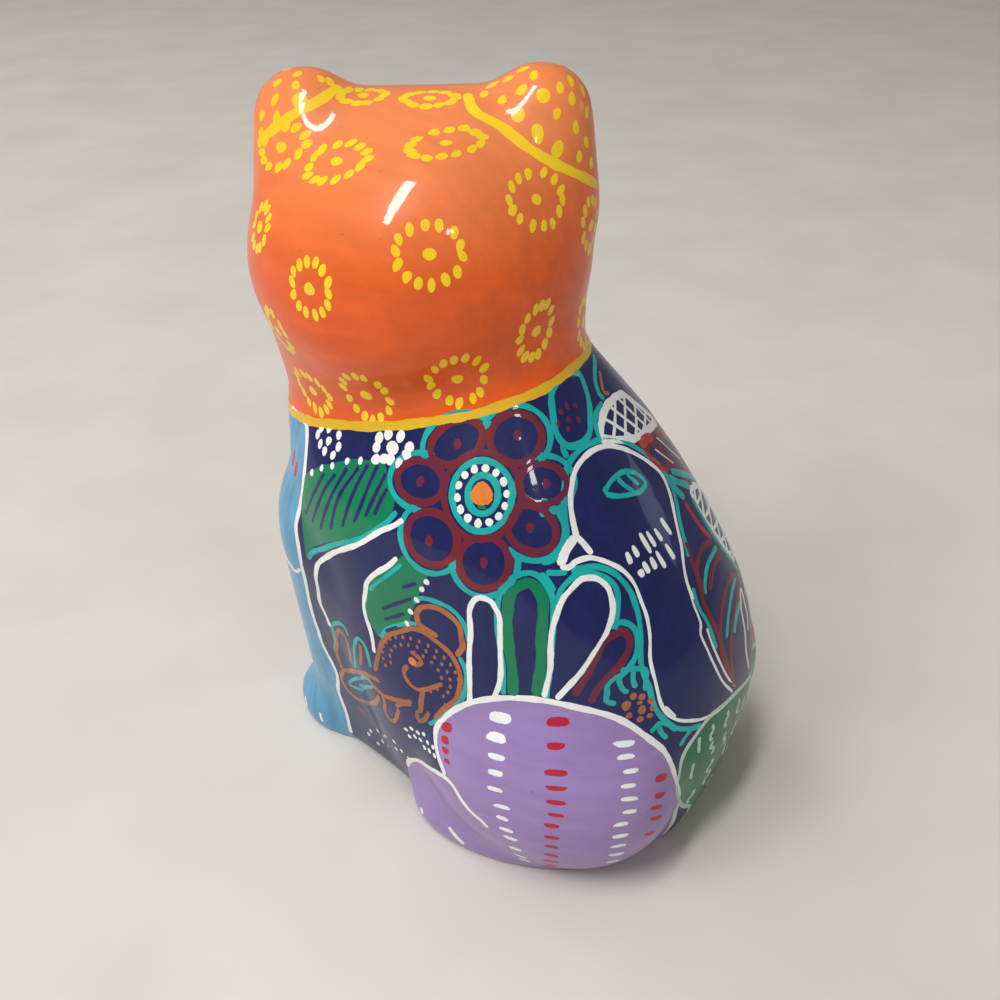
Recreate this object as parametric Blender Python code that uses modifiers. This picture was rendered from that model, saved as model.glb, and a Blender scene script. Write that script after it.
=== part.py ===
"""Talavera cat figurine: a seated cat moulded in clay in one piece, its head turned over its right
shoulder and its tail laid round its right side.

Metres, +Z up. The body faces -Y and the cat's own left side is +X. The origin is at the middle of the
flat underside. Run with: blender --background --python part.py
"""

import bpy
import bmesh
import math
from math import cos, pi, radians, sin
from mathutils import Matrix, Vector

MM = 0.001

# ---- driving dimensions, in millimetres
HEIGHT = 165.0            # underside to the tips of the ears
FLOOR_DEPTH = 6.0         # every form runs this far below the underside before it is cut flat
VOXEL = 1.4               # cell of the grid in which the forms are merged
SOFTENING = 22            # smoothing passes that round the joins, as a wet sponge does
KEPT_FACES = 0.135        # share of the grid's triangles that the finished solid keeps
SIDES = 48                # points round a section
RINGS = 24                # rings of an ellipsoid

# torso: height, back, chest and half width of a few sections, with a smooth skin through them
TORSO = [
    (-FLOOR_DEPTH, 44.5, -28.0, 26.5),
    (0.0, 48.0, -29.5, 28.5),
    (16.0, 53.8, -33.5, 34.8),
    (38.0, 57.2, -39.0, 38.5),
    (60.0, 51.6, -45.4, 38.0),
    (82.0, 34.0, -48.0, 36.5),
]
TORSO_LEVELS = 22             # sections cut through that skin
TORSO_SQUARENESS = 2.35       # 2 is an ellipse, more is fuller at the corners

NECK_HEIGHT = 101.5
NECK_SETBACK = -18.3
NECK_HALF_WIDTH = 25.6
NECK_HALF_DEPTH = 34.8
NECK_TILT = radians(13.0)     # the collar is lower at the throat

HEAD_TURN = radians(-60.0)    # the face looks over the right shoulder
HEAD_CENTRE = Vector((0.9, -19.2, 127.8))
HEAD_RADII = Vector((35.5, 34.8, 31.0))
SKULL_SHARE = 0.97            # of the head, reached by the sides of the neck

EAR_SPREAD = 22.6             # from the middle of the head to the middle of an ear
EAR_FORWARD = -1.0
EAR_OFFSET = 1.8              # both ears sit this much to the cat's right
EAR_TIP_RADII = Vector((10.4, 9.0, 9.3))
EAR_ROOT_RADII = Vector((21.4, 20.0, 17.2))
EAR_ROOT_RISE = 9.0           # above the middle of the head
EAR_ROOT_SPREAD = 13.4

CROWN_SPREAD = 11.0           # the crown is level from ear to ear
CROWN_RISE = 23.0
CROWN_RADII = Vector((9.0, 14.0, 9.6))

MUZZLE_REACH = 23.5           # from the middle of the head to the middle of the muzzle
MUZZLE_DROP = 9.0
MUZZLE_RADII = Vector((15.0, 15.5, 12.5))
MUZZLE_SPREAD = 6.0
CHIN_RADII = Vector((12.0, 13.5, 10.0))
CHIN_DROP = 7.5
NOSE_REACH = 11.5
NOSE_RISE = 5.0
NOSE_RADII = Vector((7.0, 5.5, 5.5))
BROW_REACH = 24.0
BROW_RISE = 12.0
BROW_RADII = Vector((10.0, 8.0, 8.0))

HAUNCH_CENTRE = Vector((23.6, 21.6, 26.9))
HAUNCH_RADII = Vector((20.6, 31.4, 28.5))

HIND_FOOT_CENTRE = Vector((25.8, 13.0, 5.5))
HIND_FOOT_RADII = Vector((12.1, 24.5, 12.0))
HIND_FOOT_SPLAY = radians(6.0)

FORE_PAW_CENTRE = Vector((10.2, -42.5, 5.5))
FORE_PAW_RADII = Vector((9.8, 14.3, 13.2))
WRIST_RADIUS = 10.4
WRIST_RISE = 15.8
WRIST_SETBACK = 3.0
SHOULDER_CENTRE = Vector((12.5, -32.5, 66.0))
SHOULDER_RADII = Vector((19.0, 18.0, 24.2))

# clay that fills the space between the legs and the body: centre and radii of the lumps
FLANK = [
    (Vector((11.0, -34.0, 5.0)), Vector((8.5, 9.0, 9.0))),
    (Vector((17.0, -6.0, 5.0)), Vector((10.0, 14.0, 9.0))),
    (Vector((14.5, -26.0, 64.0)), Vector((18.8, 17.0, 22.0))),
]
BREAST = [
    (Vector((0.0, -36.0, 5.0)), Vector((8.0, 10.0, 9.0))),
    (Vector((0.0, -36.0, 62.0)), Vector((12.0, 12.0, 22.0))),
]

TAIL_START = 88.0             # degrees round the base, from the cat's left by way of its back
TAIL_END = 232.0
TAIL_SECTIONS = 26
TAIL_MIDDLE_Y = 7.5
TAIL_HALF_DEPTH = 34.0
TAIL_HALF_WIDTH = 29.0
TAIL_STAND_OUT = 8.0          # how far the tail comes away from the body along its way
TAIL_ROOT = (12.0, 7.0)       # half height and half thickness
TAIL_TIP = (7.0, 6.0)
TAIL_SINK = 0.8               # its middle lies this share of its half height above the underside
TAIL_FREE_FROM = 0.15         # share of the way where it begins to come away from the body
TAIL_FREE_BY = 0.6
TAIL_TIP_FROM = 0.89          # share of the way where its end begins to round off
TAIL_POINT = 0.1              # size of the last section

CLAY_GLAZE = (0.018, 0.019, 0.088, 1.0)
CLAY_ROUGHNESS = 0.18


# ---- forms, each a closed bmesh in millimetres
def ellipsoid(centre, radii, turn=0.0):
    form = bmesh.new()
    bmesh.ops.create_uvsphere(form, u_segments=SIDES, v_segments=RINGS, radius=1.0)
    place = Matrix.Translation(centre) @ Matrix.Rotation(turn, 4, "Z") @ Matrix.Diagonal((*radii, 1.0))
    bmesh.ops.transform(form, matrix=place, verts=form.verts)
    return form


def hull(*forms):
    """The skin stretched round several forms."""
    skin = bmesh.new()
    for form in forms:
        for vert in form.verts:
            skin.verts.new(vert.co)
        form.free()
    result = bmesh.ops.convex_hull(skin, input=skin.verts)
    inside = [item for item in result["geom_interior"] if isinstance(item, bmesh.types.BMVert)]
    bmesh.ops.delete(skin, geom=inside, context="VERTS")
    return skin


def squared(value, squareness):
    return math.copysign(abs(value) ** (2 / squareness), value)


def loft(places, squareness=2.0):
    """A skin through unit circles, each moved and stretched by its own matrix."""
    form = bmesh.new()
    rings = []
    for place in places:
        verts = bmesh.ops.create_circle(form, segments=SIDES, radius=1.0)["verts"]
        for vert in verts:
            vert.co = (squared(vert.co.x, squareness), squared(vert.co.y, squareness), 0.0)
        bmesh.ops.transform(form, matrix=place, verts=verts)
        edges = list({edge for vert in verts for edge in vert.link_edges})
        rings.append((verts, edges))
    for (_, lower), (_, upper) in zip(rings, rings[1:]):
        bmesh.ops.bridge_loops(form, edges=lower + upper)
    for verts, edges in (rings[0], rings[-1]):
        bmesh.ops.contextual_create(form, geom=verts + edges)
    bmesh.ops.recalc_face_normals(form, faces=form.faces)
    return form


def smooth_through(table, at):
    """A row of the table at any first value, on a smooth curve through all its rows."""
    last = len(table) - 1
    index = max(i for i in range(last) if table[i][0] <= at or i == 0)
    low, high = table[index], table[index + 1]
    before, after = table[max(index - 1, 0)], table[min(index + 2, last)]
    span = high[0] - low[0]
    t = (at - low[0]) / span
    from_low = 2 * t**3 - 3 * t**2 + 1
    along_low = t**3 - 2 * t**2 + t
    along_high = t**3 - t**2
    row = []
    for a, b, c, d in zip(before[1:], low[1:], high[1:], after[1:]):
        slope_low = (c - a) / (high[0] - before[0]) * span
        slope_high = (d - b) / (after[0] - low[0]) * span
        row.append(from_low * b + along_low * slope_low + (1 - from_low) * c + along_high * slope_high)
    return row


def torso():
    neck = (NECK_HEIGHT, NECK_SETBACK + NECK_HALF_DEPTH * cos(NECK_TILT),
            NECK_SETBACK - NECK_HALF_DEPTH * cos(NECK_TILT), NECK_HALF_WIDTH)
    table = TORSO + [neck]
    bend_from = TORSO[-2][0]
    places = []
    for level in range(TORSO_LEVELS + 1):
        height = -FLOOR_DEPTH + (NECK_HEIGHT + FLOOR_DEPTH) * level / TORSO_LEVELS
        back, chest, half_width = smooth_through(table, height)
        lean = NECK_TILT * max(0.0, (height - bend_from) / (NECK_HEIGHT - bend_from)) ** 1.5
        place = Matrix.Translation((0.0, (back + chest) / 2, height)) @ Matrix.Rotation(lean, 4, "X")
        places.append(place @ Matrix.Diagonal((half_width, (back - chest) / 2 / cos(lean), 1.0, 1.0)))
    return loft(places, TORSO_SQUARENESS)


def neck_ring():
    middle = Matrix.Translation((0.0, NECK_SETBACK, NECK_HEIGHT))
    tilt = Matrix.Rotation(NECK_TILT, 4, "X")
    return middle @ tilt @ Matrix.Diagonal((NECK_HALF_WIDTH, NECK_HALF_DEPTH, 1.0, 1.0))


def head_point(side, ahead, up):
    """A point given from the middle of the head: to the cat's left, towards its face, and up."""
    return HEAD_CENTRE + Matrix.Rotation(HEAD_TURN, 3, "Z") @ Vector((side, -ahead, up))


def nape():
    """The neck: from the collar up into the skull."""
    ring = bmesh.new()
    bmesh.ops.create_circle(ring, segments=SIDES, radius=1.0)
    bmesh.ops.transform(ring, matrix=neck_ring(), verts=ring.verts)
    return hull(ring, ellipsoid(HEAD_CENTRE, HEAD_RADII * SKULL_SHARE, HEAD_TURN))


def ear(side):
    tip = head_point(side * EAR_SPREAD - EAR_OFFSET, EAR_FORWARD, 0.0)
    tip.z = HEIGHT - EAR_TIP_RADII.z
    root = head_point(side * EAR_ROOT_SPREAD - EAR_OFFSET, EAR_FORWARD, EAR_ROOT_RISE)
    return hull(ellipsoid(tip, EAR_TIP_RADII, HEAD_TURN), ellipsoid(root, EAR_ROOT_RADII, HEAD_TURN))


def crown():
    ends = [head_point(side * CROWN_SPREAD - EAR_OFFSET, EAR_FORWARD, CROWN_RISE) for side in (-1, 1)]
    return hull(*(ellipsoid(end, CROWN_RADII, HEAD_TURN) for end in ends))


def muzzle():
    middles = [head_point(side * MUZZLE_SPREAD, MUZZLE_REACH, -MUZZLE_DROP) for side in (-1, 1)]
    pads = [ellipsoid(middle, MUZZLE_RADII, HEAD_TURN) for middle in middles]
    chin = head_point(0.0, MUZZLE_REACH, -MUZZLE_DROP - CHIN_DROP)
    nose = head_point(0.0, MUZZLE_REACH + NOSE_REACH, -MUZZLE_DROP + NOSE_RISE)
    brow = head_point(0.0, BROW_REACH, BROW_RISE)
    jaw = ellipsoid(chin, CHIN_RADII, HEAD_TURN)
    bridge = hull(ellipsoid(nose, NOSE_RADII, HEAD_TURN), ellipsoid(brow, BROW_RADII, HEAD_TURN))
    return [hull(*pads, jaw), bridge]


def mirrored(point, side):
    return Vector((side * point.x, point.y, point.z))


def hind_leg(side):
    haunch = ellipsoid(mirrored(HAUNCH_CENTRE, side), HAUNCH_RADII)
    foot = ellipsoid(mirrored(HIND_FOOT_CENTRE, side), HIND_FOOT_RADII, side * HIND_FOOT_SPLAY)
    return [haunch, foot]


def fore_leg(side):
    paw_centre = mirrored(FORE_PAW_CENTRE, side)
    paw = ellipsoid(paw_centre, FORE_PAW_RADII)
    wrist_centre = Vector((paw_centre.x, paw_centre.y + WRIST_SETBACK, WRIST_RISE))
    wrist = ellipsoid(wrist_centre, (WRIST_RADIUS,) * 3)
    shoulder = ellipsoid(mirrored(SHOULDER_CENTRE, side), SHOULDER_RADII)
    return [paw, hull(wrist, shoulder)]


def flank(side):
    return hull(*(ellipsoid(mirrored(centre, side), radii) for centre, radii in FLANK))


def breast():
    return hull(*(ellipsoid(centre, radii) for centre, radii in BREAST))


def eased(share):
    """0 to 1 with a gentle start and end."""
    share = min(1.0, max(0.0, share))
    return share * share * (3 - 2 * share)


def tail():
    places = []
    for step in range(TAIL_SECTIONS + 1):
        share = step / TAIL_SECTIONS
        angle = radians(TAIL_START + (TAIL_END - TAIL_START) * share)
        half_height = TAIL_ROOT[0] + (TAIL_TIP[0] - TAIL_ROOT[0]) * share
        half_thickness = TAIL_ROOT[1] + (TAIL_TIP[1] - TAIL_ROOT[1]) * share
        past = max(0.0, (share - TAIL_TIP_FROM) / (1 - TAIL_TIP_FROM))
        rounding = TAIL_POINT + (1 - TAIL_POINT) * math.sqrt(1 - past ** 2)
        away = TAIL_STAND_OUT * eased((share - TAIL_FREE_FROM) / (TAIL_FREE_BY - TAIL_FREE_FROM))
        middle = Vector(((TAIL_HALF_WIDTH + away) * cos(angle),
                         TAIL_MIDDLE_Y + (TAIL_HALF_DEPTH + away) * sin(angle),
                         half_height * TAIL_SINK))
        place = Matrix.Translation(middle) @ Matrix.Rotation(angle, 4, "Z") @ Matrix.Rotation(pi / 2, 4, "X")
        places.append(place @ Matrix.Diagonal((half_thickness * rounding, half_height * rounding, 1.0, 1.0)))
    return loft(places)


# ---- the figurine
def gather(forms):
    """One mesh, in metres, that holds all the overlapping forms."""
    clay = bmesh.new()
    for form in forms:
        bmesh.ops.scale(form, vec=(MM, MM, MM), verts=form.verts)
        piece = bpy.data.meshes.new("form")
        form.to_mesh(piece)
        form.free()
        clay.from_mesh(piece)
        bpy.data.meshes.remove(piece)
    mesh = bpy.data.meshes.new("cat_figurine")
    clay.to_mesh(mesh)
    clay.free()
    return mesh


def floor_block(collection):
    """The cutter that leaves the underside flat."""
    size = 4 * HEIGHT * MM
    bpy.ops.mesh.primitive_cube_add(size=size, location=(0.0, 0.0, -size / 2))
    block = bpy.context.object
    block.name = "floor_cutter"
    block.hide_render = True
    block.display_type = "WIRE"
    for home in list(block.users_collection):
        home.objects.unlink(block)
    collection.objects.link(block)
    return block


def glazed_clay():
    material = bpy.data.materials.new("glazed_clay")
    material.use_nodes = True
    shader = material.node_tree.nodes["Principled BSDF"]
    shader.inputs["Base Color"].default_value = CLAY_GLAZE
    shader.inputs["Roughness"].default_value = CLAY_ROUGHNESS
    shader.inputs["Metallic"].default_value = 0.0
    return material


def cat_figurine(collection, cutter):
    skull = ellipsoid(HEAD_CENTRE, HEAD_RADII, HEAD_TURN)
    forms = [torso(), breast(), nape(), skull, crown(), *muzzle(), tail()]
    for side in (-1, 1):
        forms += [ear(side), flank(side), *hind_leg(side), *fore_leg(side)]
    cat = bpy.data.objects.new("cat_figurine", gather(forms))
    collection.objects.link(cat)
    cat.data.materials.append(glazed_clay())

    merge = cat.modifiers.new("merge", "REMESH")
    merge.mode = "VOXEL"
    merge.voxel_size = VOXEL * MM
    soften = cat.modifiers.new("soften", "SMOOTH")
    soften.iterations = SOFTENING
    lighten = cat.modifiers.new("lighten", "DECIMATE")
    lighten.ratio = KEPT_FACES
    underside = cat.modifiers.new("underside", "BOOLEAN")
    underside.operation = "DIFFERENCE"
    underside.object = cutter
    return cat


def centre_on_origin(cat):
    """Stand the cat with the middle of its outline over the origin."""
    bpy.context.view_layer.update()
    solid = cat.evaluated_get(bpy.context.evaluated_depsgraph_get())
    corners = [Vector(corner) for corner in solid.bound_box]
    for axis in (0, 1):
        values = [corner[axis] for corner in corners]
        cat.location[axis] = -(min(values) + max(values)) / 2


def main():
    for item in list(bpy.data.objects):
        bpy.data.objects.remove(item, do_unlink=True)
    parts = bpy.data.collections.new("talavera_cat")
    cutters = bpy.data.collections.new("cutters")
    for collection in (parts, cutters):
        bpy.context.scene.collection.children.link(collection)
    cat = cat_figurine(parts, floor_block(cutters))
    centre_on_origin(cat)


main()
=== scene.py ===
"""Talavera cat figurine: the glazed and hand-painted skin of a moulded clay cat, on a pale floor.

The painting is laid on the clay as thin films, one for each brush stroke. Places on the body are given as
degrees round it, from the cat's left by way of its back, and millimetres above the shelf. Places on the head
are given as degrees of turn, from the middle of its back towards the cat's right ear, and degrees of rise.
The places of the strokes were measured, rounded and then adjusted.
"""

import math
import random
from bisect import bisect
from math import cos, pi, radians, sin

import bmesh
import bpy
import numpy as np
from mathutils import Matrix, Vector
from mathutils.bvhtree import BVHTree
from mathutils.interpolate import poly_3d_calc


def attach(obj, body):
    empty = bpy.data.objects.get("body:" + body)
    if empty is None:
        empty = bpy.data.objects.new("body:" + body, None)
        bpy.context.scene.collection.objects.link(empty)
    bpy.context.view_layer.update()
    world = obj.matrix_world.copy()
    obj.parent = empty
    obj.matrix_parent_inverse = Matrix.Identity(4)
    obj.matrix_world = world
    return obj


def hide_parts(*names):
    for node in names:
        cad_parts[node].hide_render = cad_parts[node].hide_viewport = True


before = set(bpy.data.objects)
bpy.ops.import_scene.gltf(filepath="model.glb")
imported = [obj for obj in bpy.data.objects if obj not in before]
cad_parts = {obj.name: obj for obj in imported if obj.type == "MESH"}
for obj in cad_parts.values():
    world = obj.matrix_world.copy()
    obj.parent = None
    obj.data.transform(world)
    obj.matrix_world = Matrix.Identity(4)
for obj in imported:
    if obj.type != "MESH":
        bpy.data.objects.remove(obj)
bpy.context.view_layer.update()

bl_info = {
    "name": "Talavera cat figurine",
    "version": (1, 0, 0),
    "blender": (4, 5, 0),
    "location": "View3D > Sidebar > Cat",
    "description": "Builds a glazed clay cat with its hand painting",
    "category": "Object",
}

MM = 0.001
BODY = "root"
NODE = "cat_figurine"


def srgb(code):
    """Linear colour of an sRGB hex value."""
    shares = [int(code[i:i + 2], 16) / 255 for i in (0, 2, 4)]
    return tuple(s / 12.92 if s <= 0.04045 else ((s + 0.055) / 1.055) ** 2.4 for s in shares)


def colour(name, code, description):
    return bpy.props.FloatVectorProperty(name=name, description=description, subtype="COLOR", size=3,
                                         min=0.0, max=1.0, default=srgb(code))


def length(name, value, description):
    return bpy.props.FloatProperty(name=name, description=description, default=value * MM, min=0.0,
                                   unit="LENGTH", subtype="DISTANCE", precision=5)


class CatGlazes(bpy.types.PropertyGroup):
    navy: colour("Navy", "1A2258", "Base coat of the body")
    orange: colour("Orange", "EC601F", "Base coat of the head")
    # painted sheen: the paler orange of the crown stands for the soft gloss of the light on top of the head,
    # not for thin paint
    crown_sheen: colour("Crown", "F48A52", "The same orange where it is thin, on the crown")
    purple: colour("Purple", "9C82BA", "Base coat of the haunches and hind feet")
    blue: colour("Sky blue", "5D9CC2", "Base coat of the chest and forelegs")
    green: colour("Tail green", "0E7245", "Base coat of the tail")


class CatEnamels(bpy.types.PropertyGroup):
    white: colour("White", "F1F2EE", "Outlines, nets, dots and dashes")
    mint: colour("Mint", "B9DCC9", "Thin white over the green of the tail")
    yellow: colour("Yellow", "F8D423", "Rosettes and dots on the head")
    gold: colour("Gold", "DCB52A", "Collar line")
    turquoise: colour("Turquoise", "16B2AC", "Lines that follow the other colours")
    dark_red: colour("Dark red", "7A2426", "Petals and feathers")
    red: colour("Red", "B52438", "Dashes on the haunches")
    orange: colour("Orange", "E8832F", "Middles of the flowers")
    rust: colour("Rust", "B06A35", "Small animal and beads")
    vermilion: colour("Vermilion", "C2401C", "Top of the striped band")
    leaf: colour("Leaf green", "087E52", "Leaves and green loops")
    ink: colour("Ink", "24265F", "Navy drawn over other colours")


class CatSizes(bpy.types.PropertyGroup):
    grain: length("Skin grain", 1.15, "Size of the faces of the glazed skin")
    film: length("Film", 0.075, "How proud a brush stroke stands of the clay")
    white_line: length("White line", 1.25, "Width of the white outlines")
    turquoise_line: length("Turquoise line", 1.25, "Width of the turquoise lines")
    red_line: length("Red line", 1.6, "Width of the dark red lines")
    green_line: length("Green line", 2.3, "Width of the green loops")
    collar_line: length("Collar line", 2.0, "Width of the line round the neck")


def settings():
    scene = bpy.context.scene
    return scene.cat_glazes, scene.cat_enamels, scene.cat_sizes


def brush(name):
    """The width in mm of one kind of line."""
    return getattr(settings()[2], name + "_line") / MM


# ---- the clay
SPINE_Y = 9.0                 # middle of the body, in mm; it leans forward above the haunches
SPINE_BEND = 40.0
SPINE_LEAN = 0.45
HEAD_TURN = radians(-60.0)
HEAD_MIDDLE = Vector((0.9, -19.6, 127.8))
EAR_MIDDLE = {"right": Vector((-9.5, 1.5, 150.0)), "left": Vector((13.0, -36.5, 150.0))}
COLLAR = (105.1, -0.055, 0.241)   # height at the middle, and its slopes along X and Y
COLLAR_SLANT = 1.03           # height above the collar for each mm straight out from its plane
UNDERSIDE = 0.25              # clay lower than this lies flat on the shelf, in mm
SAME_POINT = 0.001            # mm within which two corners of the mould are one
LOWEST = 0.6                  # mm above the shelf, the lowest place that is looked for on the clay
REACH = 150.0                 # mm from the middle, outside all of the clay
CHART_REACH = 12.0            # mm above a flat drawing from which it is laid on the clay
OUTSIDE = {}                  # the skin's points, faces, normals and search tree, once the clay is made


def cast(middle, out):
    """The outermost point of the clay in one direction from a point inside it."""
    spot = OUTSIDE["tree"].ray_cast(middle + out * REACH, -out)[0]
    if spot is None:
        raise ValueError(f"no clay in direction {out} from {middle}")
    return spot


def spine(height):
    return Vector((0.0, SPINE_Y - SPINE_LEAN * max(0.0, height - SPINE_BEND), height))


def on_body(angle, height):
    out = Vector((cos(radians(angle)), sin(radians(angle)), 0.0))
    return cast(spine(max(height, LOWEST)), out)


def around(middle):
    """Places on the head or an ear, by turn and rise about its middle."""
    back = Vector((-sin(HEAD_TURN), cos(HEAD_TURN), 0.0))
    right = Vector((-cos(HEAD_TURN), -sin(HEAD_TURN), 0.0))

    def place(turn, rise):
        level = back * cos(radians(turn)) + right * sin(radians(turn))
        return cast(middle, level * cos(radians(rise)) + Vector((0.0, 0.0, sin(radians(rise)))))
    return place


on_head = around(HEAD_MIDDLE)
on_ear = {name: around(middle) for name, middle in EAR_MIDDLE.items()}


def settle(spot):
    """The nearest point of the clay, and its outward direction, smooth over the grain."""
    near, _, index, _ = OUTSIDE["tree"].find_nearest(spot)
    corners = OUTSIDE["faces"][index]
    shares = poly_3d_calc([OUTSIDE["spots"][corner] for corner in corners], near)
    normal = Vector()
    for corner, share in zip(corners, shares):
        normal += OUTSIDE["normals"][corner] * share
    return near, normal.normalized()


def at_point(x, y, z):
    """The clay nearest to a point, in mm."""
    return settle(Vector((x, y, z)))[0]


def upright(spot):
    """The nearest point of the clay, and its directions outward, to the right and up."""
    middle, normal = settle(spot)
    right = Vector((0.0, 0.0, 1.0)).cross(normal).normalized()
    return middle, normal, right, normal.cross(right)


def chart(spot):
    """A flat drawing laid on the clay round one spot: x to the right, y up, in mm."""
    middle, normal, right, up = upright(spot)

    def place(x, y):
        flat = middle + right * x + up * y
        found = OUTSIDE["tree"].ray_cast(flat + normal * CHART_REACH, -normal, 3 * CHART_REACH)[0]
        return found or settle(flat)[0]
    return place


# ---- lines
def smooth_line(points, closed=False, steps=8):
    """A smooth line through the points, with so many steps from each to the next."""
    spots = [np.array(point, float) for point in points]
    if closed:
        spots = [spots[-1], *spots, spots[0], spots[1]]
    else:
        spots = [2 * spots[0] - spots[1], *spots, 2 * spots[-1] - spots[-2]]
    line = []
    for a, b, c, d in zip(spots, spots[1:], spots[2:], spots[3:]):
        for step in range(steps):
            t = step / steps
            line.append(b + (c - a) * t / 2 + (a - 2.5 * b + 2 * c - d / 2) * t**2
                        + (1.5 * (b - c) + (d - a) / 2) * t**3)
    if not closed:
        line.append(spots[-2])
    return line


def trace(points, where=on_body, closed=False):
    """The smooth line through places on the clay."""
    return [where(*place) for place in smooth_line(points, closed)]


def walk(line):
    """A function from distance along the line to a point of it, and the line's length."""
    gone = [0.0]
    for a, b in zip(line, line[1:]):
        gone.append(gone[-1] + (b - a).length)

    def at(distance):
        index = min(max(bisect(gone, distance) - 1, 0), len(line) - 2)
        span = gone[index + 1] - gone[index]
        share = (distance - gone[index]) / span if span > 0 else 0.0
        return line[index].lerp(line[index + 1], min(1.0, max(0.0, share)))
    return at, gone[-1]


def evened(line, count):
    """The same line with points at even steps."""
    at, reach = walk(line)
    return [at(reach * number / count) for number in range(count + 1)]


def beside(line, distance):
    """The line moved sideways over the clay, to its left for a distance above zero."""
    moved = []
    for before, spot, after in zip([line[0], *line], line, [*line[1:], line[-1]]):
        near, normal = settle(spot)
        side = normal.cross(after - before).normalized()
        moved.append(settle(near + side * distance)[0])
    return moved


# ---- paint
STROKE_STEP = 0.8             # mm between the cross-sections of a stroke
STROKE_ROWS = 4               # faces across a stroke
STROKE_TIP = (0.12, 0.35, 0.7, 1.15)   # where the end of a stroke is rounded, in half widths from it
STROKE_END = 0.04             # square of the share of its width that is left at the very end
STROKE_FULL = 0.93            # a stroke's half width, as a share of the way to its sunk edge
STROKE_FALL = 0.3             # share of its thickness that is lost on the way to the ridge's side
AHEAD = 0.4                   # mm ahead and behind, between which a stroke's direction is taken
EDGE = 0.15                   # mm over which a wash ends
WASH_GRAIN = 1.4              # mm between the points of a wash
RIDGE = 0.78                  # share of a stroke's half width that is thick
RIM = 0.9                     # beyond this, of 1, a point of a film's grid is on its edge
SUNK = 0.04                   # mm that its edge goes under the skin
BASE_RISE, LAYER_RISE = 0.7, 0.3   # share of the film's thickness in layer 0, and what each layer adds
RELIEF = 0.12                 # share of its own relief that shows in the gloss
SHORTEST = 0.002              # mm, edges shorter than this are taken out of the films
CLOSING = 4                   # points by which a closed stroke runs on over its beginning
DAB_GRID = 4                  # faces along each side of a dab
DAB_FULL = 1.9                # a dab's whole size, beside the way from its middle to its sunk edge
DAB_FALL = 0.4                # share of its thickness that is lost on the way to its edge
DAB_SIZES = (0.9, 1.1)        # between which the size of a dab varies
DAB_SKEW, DAB_PINCH = 0.12, 0.3   # how far a dab may lean over, and how far one end may be wider
DASH_SQUARE = 0.35            # how far a dash's corners are filled out: 0 for an oval, 1 for a rectangle
DASH_WIDEN = 1.12             # a dash is this many times as wide as DASHES says
NET_EDGE, NET_THREAD = 1.8, 0.85   # widths in mm of a net's edges, and of the threads between them
HAND_WAVE = 16.0              # mm from one sway of the hand to the next
HAND_SWAY = 0.10              # mm that a stroke sways to each side
PRESSURE = 0.09               # share by which the width changes along a stroke
PRESS_RATE = 1.7              # changes of pressure for each sway
SWELL_RATE, SWELL_SHARE = 4.3, 0.6   # the quicker changes, and their size beside the slow ones


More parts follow.
